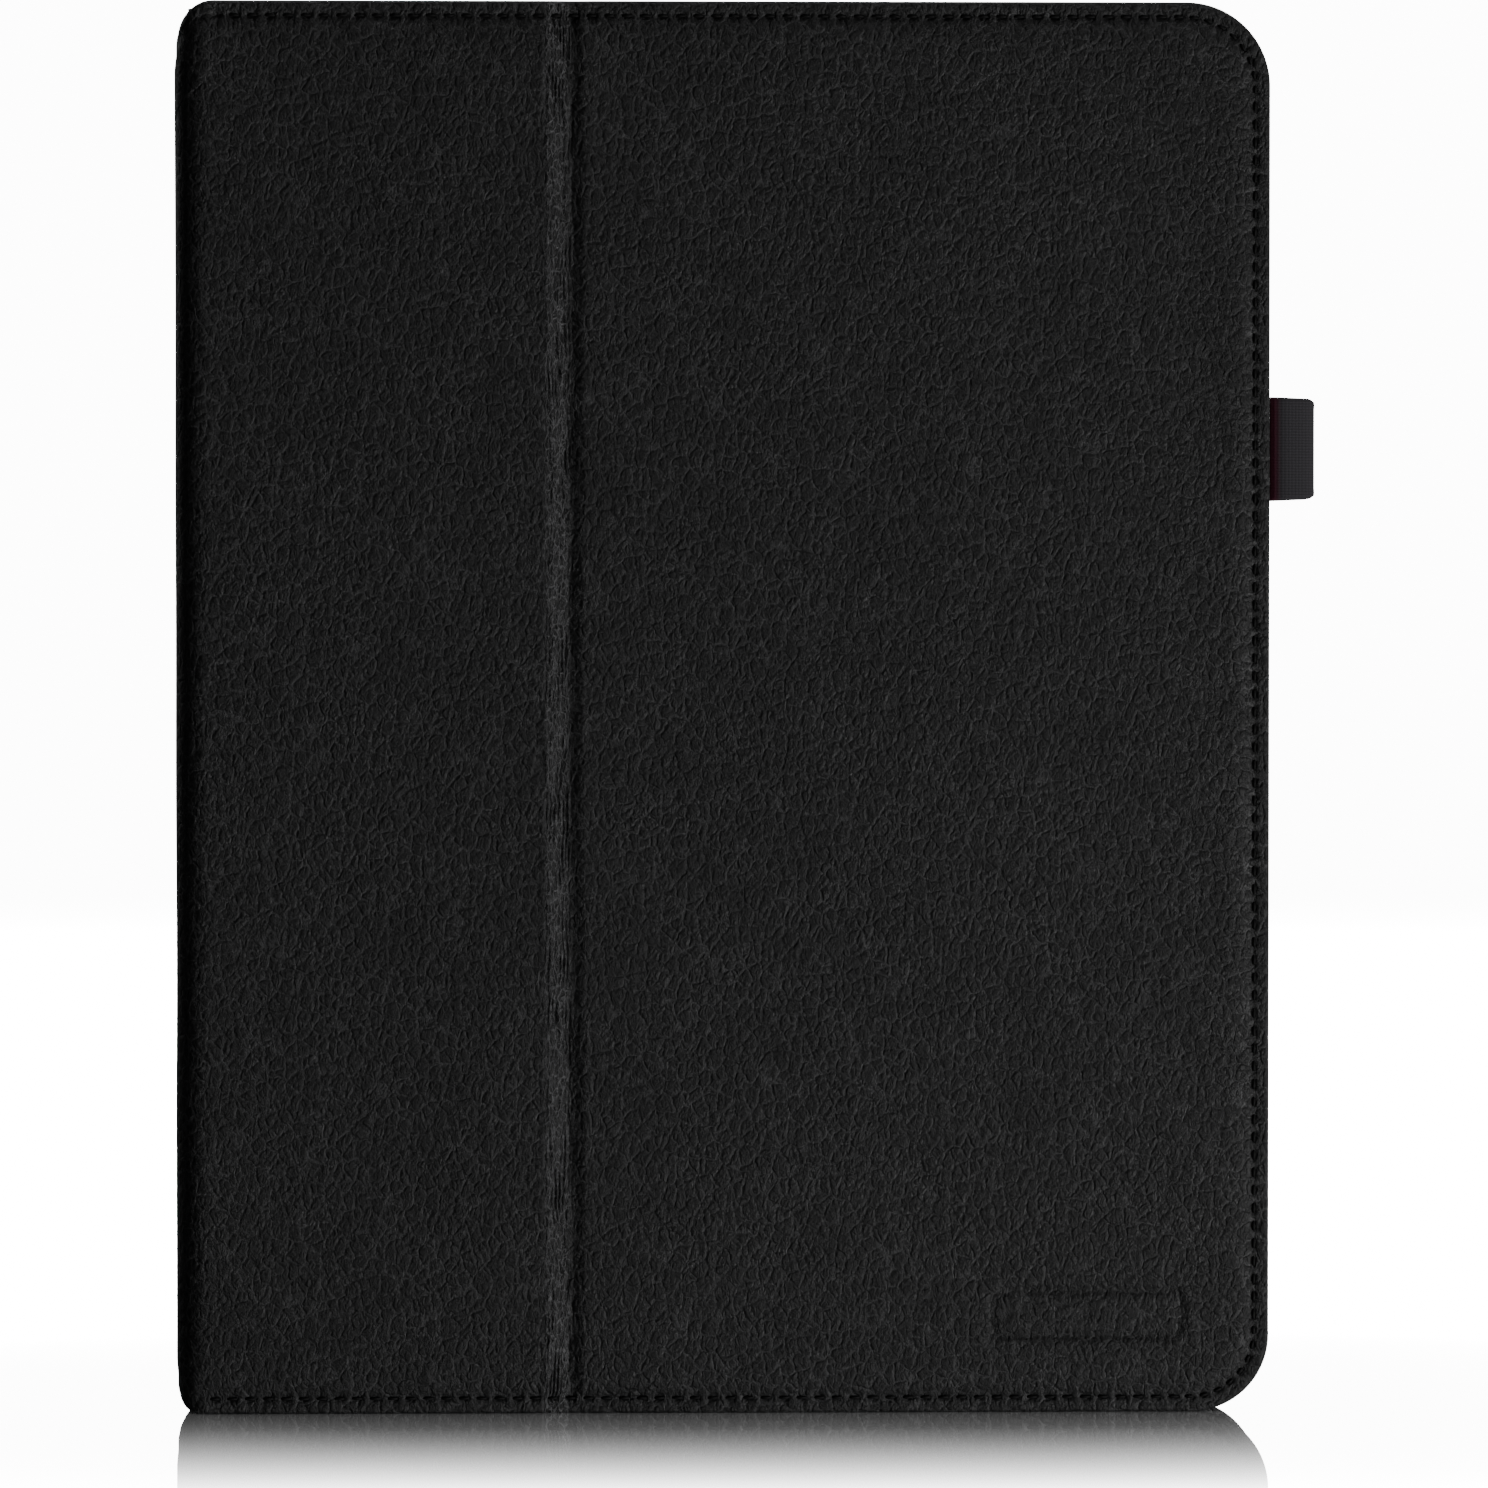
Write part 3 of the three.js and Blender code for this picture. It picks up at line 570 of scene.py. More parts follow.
def panel(columns, rows, x1, z1, radii, inner, x0=None, z0=0.0):
    """A sewn panel's outline, in the order lower side, free side, upper side, and the spine side
    if x0 is given. Returns the outline, each point's nearest grid point, and grid point places."""
    fx, fz = fine_steps(columns), fine_steps(rows)
    nx, nz = len(columns), len(rows)
    near_x = np.round(np.arange(len(fx)) / fine_per_coarse).astype(int)
    near_z = np.round(np.arange(len(fz)) / fine_per_coarse).astype(int)
    low_x, low_z = corner_run(x1, z0, -1, 1, radii["free_low"], inner)
    top_z, top_x = corner_run(z1, x1, -1, -1, radii["free_top"], inner)
    xs = [fx, low_x, np.full(len(fz), x1), top_x, fx[::-1]]
    zs = [np.full(len(fx), z0), low_z, fz, top_z, np.full(len(fx), z1)]
    near = [near_x, np.full(len(low_x), nx - 1), near_z * nx + nx - 1,
            np.full(len(top_x), nz * nx - 1), (nz - 1) * nx + near_x[::-1]]
    if x0 is not None:
        end_x, end_z = corner_run(x0, z1, 1, -1, radii["spine_top"], inner)
        start_z, start_x = corner_run(z0, x0, 1, 1, radii["spine_low"], inner)
        xs += [end_x, np.full(len(fz), x0), start_x]
        zs += [end_z, fz[::-1], start_z]
        near += [np.full(len(end_x), (nz - 1) * nx), (near_z * nx)[::-1], np.zeros(len(start_x), int)]
    outline = np.stack([np.concatenate(xs), np.concatenate(zs)], -1)
    gx, gz = np.meshgrid(columns, rows)
    return outline, np.concatenate(near), np.stack([gx.ravel(), gz.ravel()], -1)


def along_outline(outline):
    """Each point's distance along the outline from its first point."""
    steps = np.linalg.norm(np.diff(outline, axis=0), axis=1)
    return np.concatenate([[0], np.cumsum(steps)])


def pole_of(outline, columns, rows):
    """Where each outline point's profile ends: straight in, or at the corner of the grid."""
    return np.stack([np.clip(outline[:, 0], columns[0], columns[-1]),
                     np.clip(outline[:, 1], rows[0], rows[-1])], -1)


def ring_and_grid(profile, outline, near, grid, columns, rows, inner, around=False):
    """Plan places, insets and faces of the ring of profile points and the grid inside it."""
    rings, count = len(profile) - 1, len(outline)
    pole = pole_of(outline, columns, rows)
    share = profile[:-1, 0][:, None, None] / inner
    ring = outline + (pole - outline) * share
    plan = np.concatenate([ring.reshape(-1, 2), grid])
    inset = np.concatenate([np.repeat(profile[:-1, 0], count), np.full(len(grid), inner)])
    first = rings * count
    last = (rings - 1) * count + np.arange(count)
    here, there = (last, np.roll(last, -1)) if around else (last[:-1], last[1:])
    to, onto = (near, np.roll(near, -1)) if around else (near[:-1], near[1:])
    same = to == onto
    fans = np.stack([here, there, first + to], -1)[same]
    quads = np.stack([here, there, first + onto, first + to], -1)[~same]
    ring_faces = grid_faces(rings, count, around=around)
    return plan, inset, [ring_faces, fans, quads, grid_faces(len(rows), len(columns), first)]


# %% [markdown]
# ## The front cover's leather
#
# One sheet covers the narrow panel, the crease and the wide panel. The crease isn't a neat
# groove: the leather slopes down from the narrow side in long upright wrinkles and then steps up
# sharply to the wide side. A plain sunk frame is pressed into the lower corner of the face.

# %% Corners, and the grid's spacing
flat_start = fold_radius + 3.0
radii = {"free_low": 13.7, "free_top": 14.9, "spine_low": 4.3, "spine_top": 7.4}


def spaced(stops, steps):
    """Numbers from the first stop to the last, at about the step given for each stretch."""
    parts = []
    for low, high, about in zip(stops, stops[1:], steps):
        count = max(int(round((high - low) / about)), 1)
        parts.append(np.linspace(low, high, count, endpoint=False))
    return np.append(np.concatenate(parts), stops[-1])


plate_low, plate_high = np.array([144.0, 12.8]), np.array([179.0, 22.4])
coarse, fine, crease_fine = 1.3, 0.5, 0.16
crease_stops = [crease_mid - 6.0, crease_mid - 4.0, crease_mid + 3.8, crease_mid + 6.0]
front_stops = [flat_start, *crease_stops, plate_low[0] - 3.0, width - margin]
front_columns = spaced(front_stops, [coarse, 0.7, crease_fine, 0.6, coarse, 0.8])
rows = spaced([margin, 25.0, height - margin], [fine, coarse])
print(f"front grid of {len(front_columns)} columns and {len(rows)} rows")


# %% Depths on the front face
def crease_depth(x, z):
    """The crease's own depth: a long slope down, a sharp step back up, and upright wrinkles."""
    wander = 0.25 * waves(z / 26, z / 57, 5)
    across = x - crease_mid + 1.1 + wander
    slope = step(across, -3.2, 1.3) ** 1.1 * (1 - step(across, 1.1, 4.2))
    inside = step(across, -3.6, -2.4) * (1 - step(across, 1.2, 2.2))
    bend = across + 0.35 * waves(z / 0.9, z / 1.7, 13)
    upright = np.abs(waves(bend / 0.20, z / 2.6, 11)) + 0.7 * np.abs(waves(bend / 0.28, z / 4.4, 12))
    return 0.80 * slope - 0.26 * inside * (1.2 - upright)


def plate_depth(x, z):
    """A rounded frame sunk into the face: deep within its line, a little raised inside it."""
    middle, half = (plate_low + plate_high) / 2, (plate_high - plate_low) / 2
    round_off = 2.6
    qx = np.maximum(np.abs(x - middle[0]) - half[0] + round_off, 0)
    qz = np.maximum(np.abs(z - middle[1]) - half[1] + round_off, 0)
    outside = np.hypot(qx, qz) - round_off
    return 0.52 * bell(outside, -0.8, 0.7) + 0.12 * (1 - step(outside, -2.4, -0.9))


def slow_swell(x, z):
    """Slow unevenness of foam under leather, a tenth of a millimetre or so."""
    return 0.07 * waves(x / 17, z / 21, 3) + 0.04 * waves(x / 6.5, z / 8.5, 4)


def cover_depth(plan, inset, along, base, face, crease=True):
    """Depth of every point of a cover's skin below the plane of its padded face."""
    x, z = plan.T
    depth = base + face * (face_depth(inset, along) - slow_swell(x, z) * step(inset, 3.0, 6.0))
    if crease:
        depth = depth + crease_depth(x, z) * face * (0.55 + 0.45 * step(inset, 2.4, 4.0))
        depth = depth + 0.3 * bell(x, crease_mid + 1, 2.2) * (1 - face) * (base < 2)
        depth = depth + plate_depth(x, z) * face
    return depth


# %% The front sheet
def cover_skin(columns, rows, crease):
    """Points and faces of a cover's outer leather, with y as the depth below the padded face."""
    outline, near, grid = panel(columns, rows, width, height, radii, margin)
    plan, inset, faces = ring_and_grid(edge_profile, outline, near, grid, columns, rows, margin)
    rings = len(edge_profile) - 1
    along = np.concatenate([np.tile(along_outline(outline), rings), np.zeros(len(grid))])
    base = np.concatenate([np.repeat(edge_profile[:-1, 1], len(outline)), np.zeros(len(grid))])
    face = np.concatenate([np.repeat(on_face[:-1], len(outline)), np.ones(len(grid))])
    depth = cover_depth(plan, inset, along, base, face, crease)
    return np.stack([plan[:, 0], depth, plan[:, 1]], -1), faces, outline


front_points, front_faces, front_outline = cover_skin(front_columns, rows, True)
front_skin = make("front_cover_leather", front_points, front_faces, front_leather, "leather")
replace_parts(front_skin, "narrow_panel_leather", "crease_leather", "wide_panel_leather")


def crease_blend(piece):
    """Bakes the piece's transform into its mesh."""
    middle = height / 2
    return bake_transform(piece)


crease_blend(front_skin)
front_triangles = sum(len(f) * (f.shape[1] - 2) for f in front_faces)
print(f"front leather: {len(front_points)} points, {front_triangles} triangles")

# %% [markdown]
# ## The back cover's leather
#
# The back is the same sheet without the crease, and with a round hole for the tablet's camera.
# The grid is cut where the hole is, its cut edge is moved onto a circle, and a turned lip covers
# it. The grid's corner is set off from the hole, so that the fan's point isn't in it.

# %% The camera hole
def back_y(points):
    """Depths below the back cover's face, turned into case y."""
    out = points.copy()
    out[:, 1] = thickness - out[:, 1]
    return out


def camera_circle():
    """Centre and radius of the camera hole: the back lining's corner points that lie 6 to 30 mm
    in from the free upper corner are all on it."""
    plan = node_points("back_lining")[:, [0, 2]]
    from_corner = np.array([width, height]) - plan
    ring = plan[((from_corner > 6) & (from_corner < 30)).all(1)]
    centre = (ring.min(0) + ring.max(0)) / 2
    return centre, np.linalg.norm(ring - centre, axis=1).min()


hole_centre, hole_radius = camera_circle()
lip_width = 1.6
print(f"camera hole at {hole_centre.round(1)}, radius {hole_radius:.1f}")


def cut_hole(points, faces, centre, radius):
    """Drops the faces that touch a circle and moves the cut's edge onto it."""
    plan = points[:, [0, 2]] - centre
    near = np.linalg.norm(plan, axis=1)
    inside = near < radius
    kept = [f[~inside[f].any(1)] for f in faces]
    dropped = [f[inside[f].any(1)] for f in faces]
    rim = np.intersect1d(np.unique(np.concatenate([f.ravel() for f in kept])),
                         np.unique(np.concatenate([f.ravel() for f in dropped])))
    out = points.copy()
    out[rim[:, None], [0, 2]] = centre + plan[rim] * (radius / near[rim])[:, None]
    used = np.unique(np.concatenate([f.ravel() for f in kept]))
    renumber = np.zeros(len(points), int)
    renumber[used] = np.arange(len(used))
    return out[used], [renumber[f] for f in kept]


# %% The back sheet
back_columns = spaced([flat_start, 150.0, width - margin], [coarse, 0.8])
back_rows = spaced([margin, height - 45.0, height - margin], [coarse, 0.8])
back_points, back_faces, back_outline = cover_skin(back_columns, back_rows, False)
cut_radius = hole_radius + lip_width * 0.6
back_points, back_faces = cut_hole(back_points, back_faces, hole_centre, cut_radius)
back_points = back_y(back_points)
back_skin = make("back_cover_leather", back_points, back_faces, cover_leather, "leather", flip=True)
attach(back_skin, "back_cover")
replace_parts(back_skin, "back_leather")
print(f"back leather: {len(back_points)} points")


# %% The hole's lip
def ring_of(profile, centre, steps=96):
    """A profile of (radius, y) carried round an upright circle, closed both ways."""
    a = np.linspace(0, 2 * np.pi, steps, endpoint=False)
    r, y = profile[:, 0][:, None], profile[:, 1][:, None]
    x = centre[0] + r * np.cos(a)
    z = centre[1] + r * np.sin(a)
    points = np.stack([x, y + 0 * a, z], -1).reshape(-1, 3)
    quads = grid_faces(len(profile), steps, around=True)
    i = (len(profile) - 1) * steps + np.arange(steps)
    j = np.arange(steps)
    close = np.stack([i, np.roll(i, -1), np.roll(j, -1), j], -1)
    return points, [quads, close]


# Each point is a distance out from the hole's wall and a y above the back's face.
lip_profile = np.array([hole_radius, thickness]) + np.concatenate([
    [[lip_width, -0.02], [lip_width - 0.3, 0.10], [0.8, 0.14]],
    arc((0.6, -0.5), 0.6, 90, 180, 6),
    [[0.0, -2.0], [0.0, 0.15 - cover_stack], [0.2, -0.02 - cover_stack]],
    [[0.9, -0.02 - cover_stack], [1.0, -1.2], [lip_width, -0.5]],
])
lip_points, lip_faces = ring_of(lip_profile, hole_centre)
lip = make("camera_hole_lip", lip_points, lip_faces, sleeve_leather, "leather")
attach(lip, "back_cover")
print(f"lip of {len(lip_profile)} points carried round the hole")

# %% [markdown]
# ## Round the spine
#
# The same sheet turns round the spine in two quarter folds. Each fold is its own piece from the
# middle of the spine to the flat of a cover. Across, it follows a line, an arc and a line;
# upwards, it carries the cover's edge profile at both ends.

# %% The fold's line
half = thickness / 2


def fold_line(s):
    """The outer face's plan from mid-spine round the front fold: point and inward direction at
    each distance s in millimetres."""
    straight = half - fold_radius
    turn = np.pi / 2 * fold_radius
    a = np.clip((s - straight) / fold_radius, 0, np.pi / 2)
    x = fold_radius * (1 - np.cos(a)) + np.maximum(s - straight - turn, 0)
    y = np.where(s < straight, half - s, fold_radius * (1 - np.sin(a)))
    return np.stack([x, y], -1), np.stack([np.cos(a), np.sin(a)], -1)


def fold_ends(x):
    """How far the rounded outline takes the lower and upper ends in at each x."""
    low, top = radii["spine_low"], radii["spine_top"]
    drop = [r - np.sqrt(np.maximum(r * r - np.maximum(r - x, 0) ** 2, 0)) for r in (low, top)]
    return drop[0], height - drop[1]


fold_length = half - fold_radius + np.pi / 2 * fold_radius + flat_start - fold_radius
fold_steps = spaced([0, half - fold_radius, fold_length - 3.0, fold_length], [0.8, 0.5, 0.45])
print(f"fold of {fold_length:.1f} mm in {len(fold_steps) - 1} steps")


# %% The fold's skin
def fold_points(s, inset, depth, from_top):
    """Points at distance s along the fold, inset from an end, at a depth below the face. The
    rounded end is one straight cut through the layers, so a deep point is cut by its own x."""
    line, inward = fold_line(s)
    plan = line + inward * depth[..., None]
    low, top = fold_ends(line[..., 0] + inward[..., 0] * np.maximum(depth - 0.3, 0))
    z = np.where(from_top, top - inset, low + inset)
    return np.stack([plan[..., 0], plan[..., 1], z], -1)


def fold_skin():
    """Grid of the fold: the edge profile, the plain rows, and the profile again, upwards."""
    s = fold_steps[None, :]
    x = fold_line(fold_steps)[0][:, 0][None, :]
    profile, face = edge_profile[:-1], on_face[:-1]
    sewn = step(x, 3.2, 4.8)
    cover = 0.35 + 0.65 * step(x, 1.0, fold_radius + 2.0)
    inset = profile[:, 0][:, None] + 0 * s
    ends = []
    for from_top in (False, True):
        z_edge = height if from_top else 0.0
        z = z_edge + (-inset if from_top else inset)
        start = (x + 0 * s) - flat_start
        along = -start if from_top else start
        along = along + (top_start if from_top else 0.0)
        outer = face_depth(inset, along, sewn) * cover - slow_swell(x + 0 * s, z) * step(inset, 3.0, 6.0)
        slim = 1 - 0.3 * (1 - face[:, None]) * (1 - step(x, 5.0, flat_start))
        depth = profile[:, 1][:, None] * slim + face[:, None] * outer
        ends.append(fold_points(s + 0 * inset, inset, depth, from_top))
    z_rows = rows[:, None] + 0 * s
    swell = -slow_swell(x + 0 * z_rows, z_rows)
    line, inward = fold_line(s + 0 * z_rows)
    plan = line + inward * swell[..., None]
    middle = np.stack([plan[..., 0], plan[..., 1], z_rows], -1)
    return np.concatenate([ends[0], middle, ends[1][::-1]])


top_start = along_outline(front_outline)[-1]
fold_grid = fold_skin()
fold_faces = [grid_faces(*fold_grid.shape[:2])]
fold_front = fold_grid.reshape(-1, 3)
fold_back = back_y(fold_front)
front_fold = make("front_fold_sheet", fold_front, fold_faces, cover_leather, "leather")
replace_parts(front_fold, "front_fold_leather")
back_fold = make("back_fold_sheet", fold_back, fold_faces, cover_leather, "leather", flip=True)
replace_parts(back_fold, "back_fold_leather", "spine_leather")


def fold_blend(piece, side, inner=0.0):
    """Bakes the piece's transform into its mesh. It works out the y of the front or the back
    hinge, for a layer inner millimetres below the outer face, but nothing uses it."""
    y = [fold_radius, inner] if side == "front" else [thickness - fold_radius, thickness - inner]
    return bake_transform(piece)


fold_blend(front_fold, "front")
fold_blend(back_fold, "back")
print(f"each fold has {len(fold_front)} points")

# %% [markdown]
# ## Stitches
#
# A seam reads as real when each stitch is there: a short length of thread that lies on the
# leather and dives into it at both ends. One small tapered tube is repeated along the seam.


# %% One seam's thread
def stitch_tubes(starts, ends, outward, radius=0.27, dive=0.42, rings=7, sides=6):
    """Tubes from starts to ends. A stitch is thickest in the middle and sinks at both ends."""
    t = np.linspace(0, 1, rings)
    lift = np.sin(np.pi * t) ** 0.6
    thick = radius * (0.35 + 0.65 * np.sin(np.pi * np.clip(t, 0.04, 0.96)) ** 0.5)
    run = ends - starts
    tangent = run / np.linalg.norm(run, axis=1, keepdims=True)
    side = np.cross(tangent, outward)
    sunk = outward[:, None] * ((lift - 1) * dive)[:, None]
    centre = starts[:, None] + run[:, None] * t[:, None] + sunk
    a = np.linspace(0, 2 * np.pi, sides, endpoint=False)
    off = side[:, None, None] * np.cos(a)[:, None] + outward[:, None, None] * np.sin(a)[:, None] * 0.8
    points = centre[:, :, None] + off * thick[:, None, None]
    count = len(starts)
    per = rings * sides
    tube = grid_faces(rings, sides, around=True)
    caps = [np.arange(sides)[::-1], (rings - 1) * sides + np.arange(sides)]
    quads = (np.arange(count)[:, None, None] * per + tube).reshape(-1, 4)
    closed = (np.arange(count)[:, None, None] * per + np.array(caps)).reshape(-1, sides)
    return points.reshape(-1, 3), [quads, closed]


stitch_ends = (0.03, stitch_share + 0.12)


def place_along(seam, along, at):
    """Points on a plan curve at some distances along it, with y left at 0."""
    return np.stack([np.interp(at, along, seam[:, 0]), 0 * at, np.interp(at, along, seam[:, 1])], -1)


def seam_along(outline, columns, rows, inner, inset, extra=0.0):
    """Starts and ends of the stitches on a panel's outline. extra carries the seam on, straight
    towards the spine, at both ends."""
    along = along_outline(outline)
    seam = outline + (pole_of(outline, columns, rows) - outline) * (inset / inner)
    more = np.array([extra, 0.0])
    seam = np.concatenate([[seam[0] - more], seam, [seam[-1] - more]])
    along = np.concatenate([[-extra], along, [along[-1] + extra]])
    k = np.arange(np.ceil(along[0] / stitch_pitch), np.floor(along[-1] / stitch_pitch))
    return [place_along(seam, along, (k + share) * stitch_pitch) for share in stitch_ends]


# %% The hems' stitches
thread_depth = 0.66
starts, ends = seam_along(front_outline, front_columns, rows, margin, stitch_inset, stitch_pitch)
for run in (starts, ends):
    run[:, 1] = thread_depth + crease_depth(run[:, 0], run[:, 2]) * 0.62
outward = np.tile([0.0, -1.0, 0.0], (len(starts), 1))
front_thread = make("front_hem_stitches", *stitch_tubes(starts, ends, outward), thread, "thread")
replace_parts(front_thread, "narrow_panel_thread_bottom", "narrow_panel_thread_top", "wide_panel_thread")
crease_blend(front_thread)

starts, ends = seam_along(back_outline, back_columns, back_rows, margin, stitch_inset, stitch_pitch)
for run in (starts, ends):
    run[:, 1] = thickness - thread_depth
outward = np.tile([0.0, 1.0, 0.0], (len(starts), 1))
back_thread = make("back_hem_stitches", *stitch_tubes(starts, ends, outward), thread, "thread")
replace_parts(back_thread, "back_hem_thread")
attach(back_thread, "back_cover")
print(f"{len(starts)} stitches round each cover")

# %% [markdown]
# ## The lining
#
# Inside, microfibre is glued over the boards and through the crease. It is a thin sheet, so it is
# a grid with a little unevenness, given its thickness afterwards by Solidify.


# %% Lining sheets
def apply_modifiers(piece):
    """Keeps the piece's evaluated mesh and drops its modifiers."""
    evaluated = piece.evaluated_get(bpy.context.evaluated_depsgraph_get())
    mesh = bpy.data.meshes.new_from_object(evaluated)
    old = piece.data
    piece.modifiers.clear()
    piece.data = mesh
    bpy.data.meshes.remove(old)
    return piece


def thicken(piece, amount):
    """Gives a sheet its thickness, inwards from its outer face, and closes its edge."""
    solid = piece.modifiers.new("thickness", "SOLIDIFY")
    solid.thickness = amount * MM
    solid.offset = -1.0
    return apply_modifiers(piece)


lining_edge = width - case_box("wide_panel_lining")[1][0]
lining_thickness = cover_stack - lining_start - 0.04
lining_radii = {k: max(r - lining_edge, 2.0) for k, r in radii.items()}
lining_ring = 13.6


def lining_sheet(name, columns, rows, y_of, flip, hole=False):
    """A lining sheet with rounded free corners; y_of gives its face's y over x and z."""
    x1, z1 = width - lining_edge, height - lining_edge
    outline, near, grid = panel(columns, rows, x1, z1, lining_radii, lining_ring, z0=lining_edge)
    profile = np.array([[0.0, 0.0], [0.5, 0.0], [2.0, 0.0], [6.0, 0.0], [lining_ring, 0.0]])
    plan, inset, faces = ring_and_grid(profile, outline, near, grid, columns, rows, lining_ring)
    points = np.stack([plan[:, 0], y_of(plan[:, 0], plan[:, 1]), plan[:, 1]], -1)
    if hole:
        points, faces = cut_hole(points, faces, hole_centre, hole_radius + 0.15)
    return thicken(make(name, points, faces, microfibre, "microfibre", flip=flip), lining_thickness)


# %% The flat linings
lining_in = lining_ring + lining_edge
lining_rows = spaced([lining_in, height - lining_in], [1.8])


def front_lining_y(x, z):
    """The lining's face: flat and a little uneven, with a groove where the cover creases."""
    from_crease = np.abs(x - crease_mid)
    groove = 0.85 * (1 - step(from_crease, 1.0, 3.6))
    return cover_stack - groove + 0.03 * waves(x / 14, z / 18, 21)


def back_lining_y(x, z):
    """The back lining's face: flat and a little uneven."""
    return thickness - cover_stack + 0.02 * waves(x / 14, z / 18, 22)


lining_columns = spaced([flat_start, 64.0, 75.0, width - lining_in], [2.0, 0.5, 2.0])
front_lining = lining_sheet("front_lining_sheet", lining_columns, lining_rows, front_lining_y, True)
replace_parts(front_lining, "narrow_panel_lining", "crease_lining", "wide_panel_lining")
crease_blend(front_lining)

back_lining_columns = spaced([flat_start, width - lining_in], [2.0])
back_lining = lining_sheet(
    "back_lining_sheet", back_lining_columns, lining_rows, back_lining_y, False, hole=True)
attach(back_lining, "back_cover")
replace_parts(back_lining, "back_lining")
sheet_height = (height - 2 * lining_edge) * MM
flat = ((width - lining_edge - flat_start) * MM, sheet_height)
print(f"flat linings of {flat[0] / MM:.1f} x {flat[1] / MM:.1f} mm")


# %% The linings of the folds
def fold_lining_line(s):
    """Plan of the lining's inner face, from mid-spine round the inside of the front fold."""
    spine_in = case_box("spine_lining")[1][0]
    bend_x, bend_y = fold_radius - spine_in, fold_radius - cover_stack
    straight = half - fold_radius
    turn = np.pi / 2 * (bend_x + bend_y) / 2
    a = np.clip((s - straight) / turn, 0, 1) * np.pi / 2
    x = fold_radius - bend_x * np.cos(a) + np.maximum(s - straight - turn, 0)
    y = np.where(s < straight, half - s, fold_radius - bend_y * np.sin(a))
    return x, y, straight + turn


def fold_lining(name, side):
    """A straight-sided lining sheet round the inside of the front or the back fold."""
    end = fold_lining_line(np.zeros(1))[2] + flat_start - fold_radius
    s = spaced([0, end], [0.4])
    x, y, _ = fold_lining_line(s)
    z = spaced([lining_edge, height - lining_edge], [2.5])
    gx, gz = np.meshgrid(x, z)
    gy = np.meshgrid(y, z)[0]
    points = np.stack([gx, gy, gz], -1).reshape(-1, 3)
    if side == "back":
        points = back_y(points)
    faces = [grid_faces(len(z), len(x))]
    piece = make(name, points, faces, microfibre, "microfibre", flip=side == "front")
    thicken(piece, lining_thickness)
    fold_blend(piece, side, cover_stack)
    end * MM
    return piece


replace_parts(fold_lining("front_fold_lining_sheet", "front"), "front_fold_lining")
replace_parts(fold_lining("back_fold_lining_sheet", "back"), "back_fold_lining", "spine_lining")

# %% [markdown]
# ## The stylus loop
#
# The loop is ribbed elastic webbing: a band that leaves the cover's edge doubled, opens into a
# loop and comes back. Its section is carried along that route, and the ribs, which run up the
# band's width, are ripples of its thickness along the route.

# %% The band's route
loop_low, loop_high = case_box("stylus_loop")
band = 0.8
rib_pitch = 0.62
end_round = 1.5


def smooth_route(points, spacing):
    """A curve through the points (Catmull-Rom), sampled evenly."""
    p = np.asarray(points, float)
    p = np.concatenate([[2 * p[0] - p[1]], p, [2 * p[-1] - p[-2]]])
    t = np.linspace(0, 1, 40, endpoint=False)[:, None]
    a, b, c, d = p[:-3, None], p[1:-2, None], p[2:-1, None], p[3:, None]
    square, cube = 2 * a - 5 * b + 4 * c - d, 3 * b - a - 3 * c + d
    curve = 0.5 * (2 * b + (c - a) * t + square * t**2 + cube * t**3)
    curve = np.concatenate([curve.reshape(-1, p.shape[1]), p[-2][None]])
    along = along_outline(curve)
    at = np.arange(0, along[-1], spacing)
    return np.stack([np.interp(at, along, curve[:, k]) for k in range(p.shape[1])], -1)


def loop_route():
    """Plan of the band's middle: out of the edge, round the stylus's place, and back in."""
    x0, x1 = width, loop_high[0] - band / 2
    y0, y1 = loop_low[1] + band / 2, loop_high[1] - band / 2
    root = thickness - 2.1
    gap = band / 2 + 0.02
    way_out = [(x0 - 3.0, root - gap), (x0 - 0.2, root - gap), (x0 + 0.9, root - 1.3)]
    front = [(x0 + 1.1, y0 + 1.6), (x0 + 2.4, y0 + 0.15), (x0 + 4.6, y0), (x1 - 0.5, y0 + 1.0)]
    end = [(x1, y0 + 2.6), (x1, y1 - 2.2), (x1 - 0.7, y1 - 0.6), (x1 - 2.2, y1)]
    way_back = [(x0 + 2.8, y1), (x0 + 1.2, root + 0.75), (x0 - 0.2, root + gap), (x0 - 3.0, root + gap)]
    return smooth_route(way_out + front + end + way_back, 0.07)


route = loop_route()
print(f"loop: {len(route)} steps")


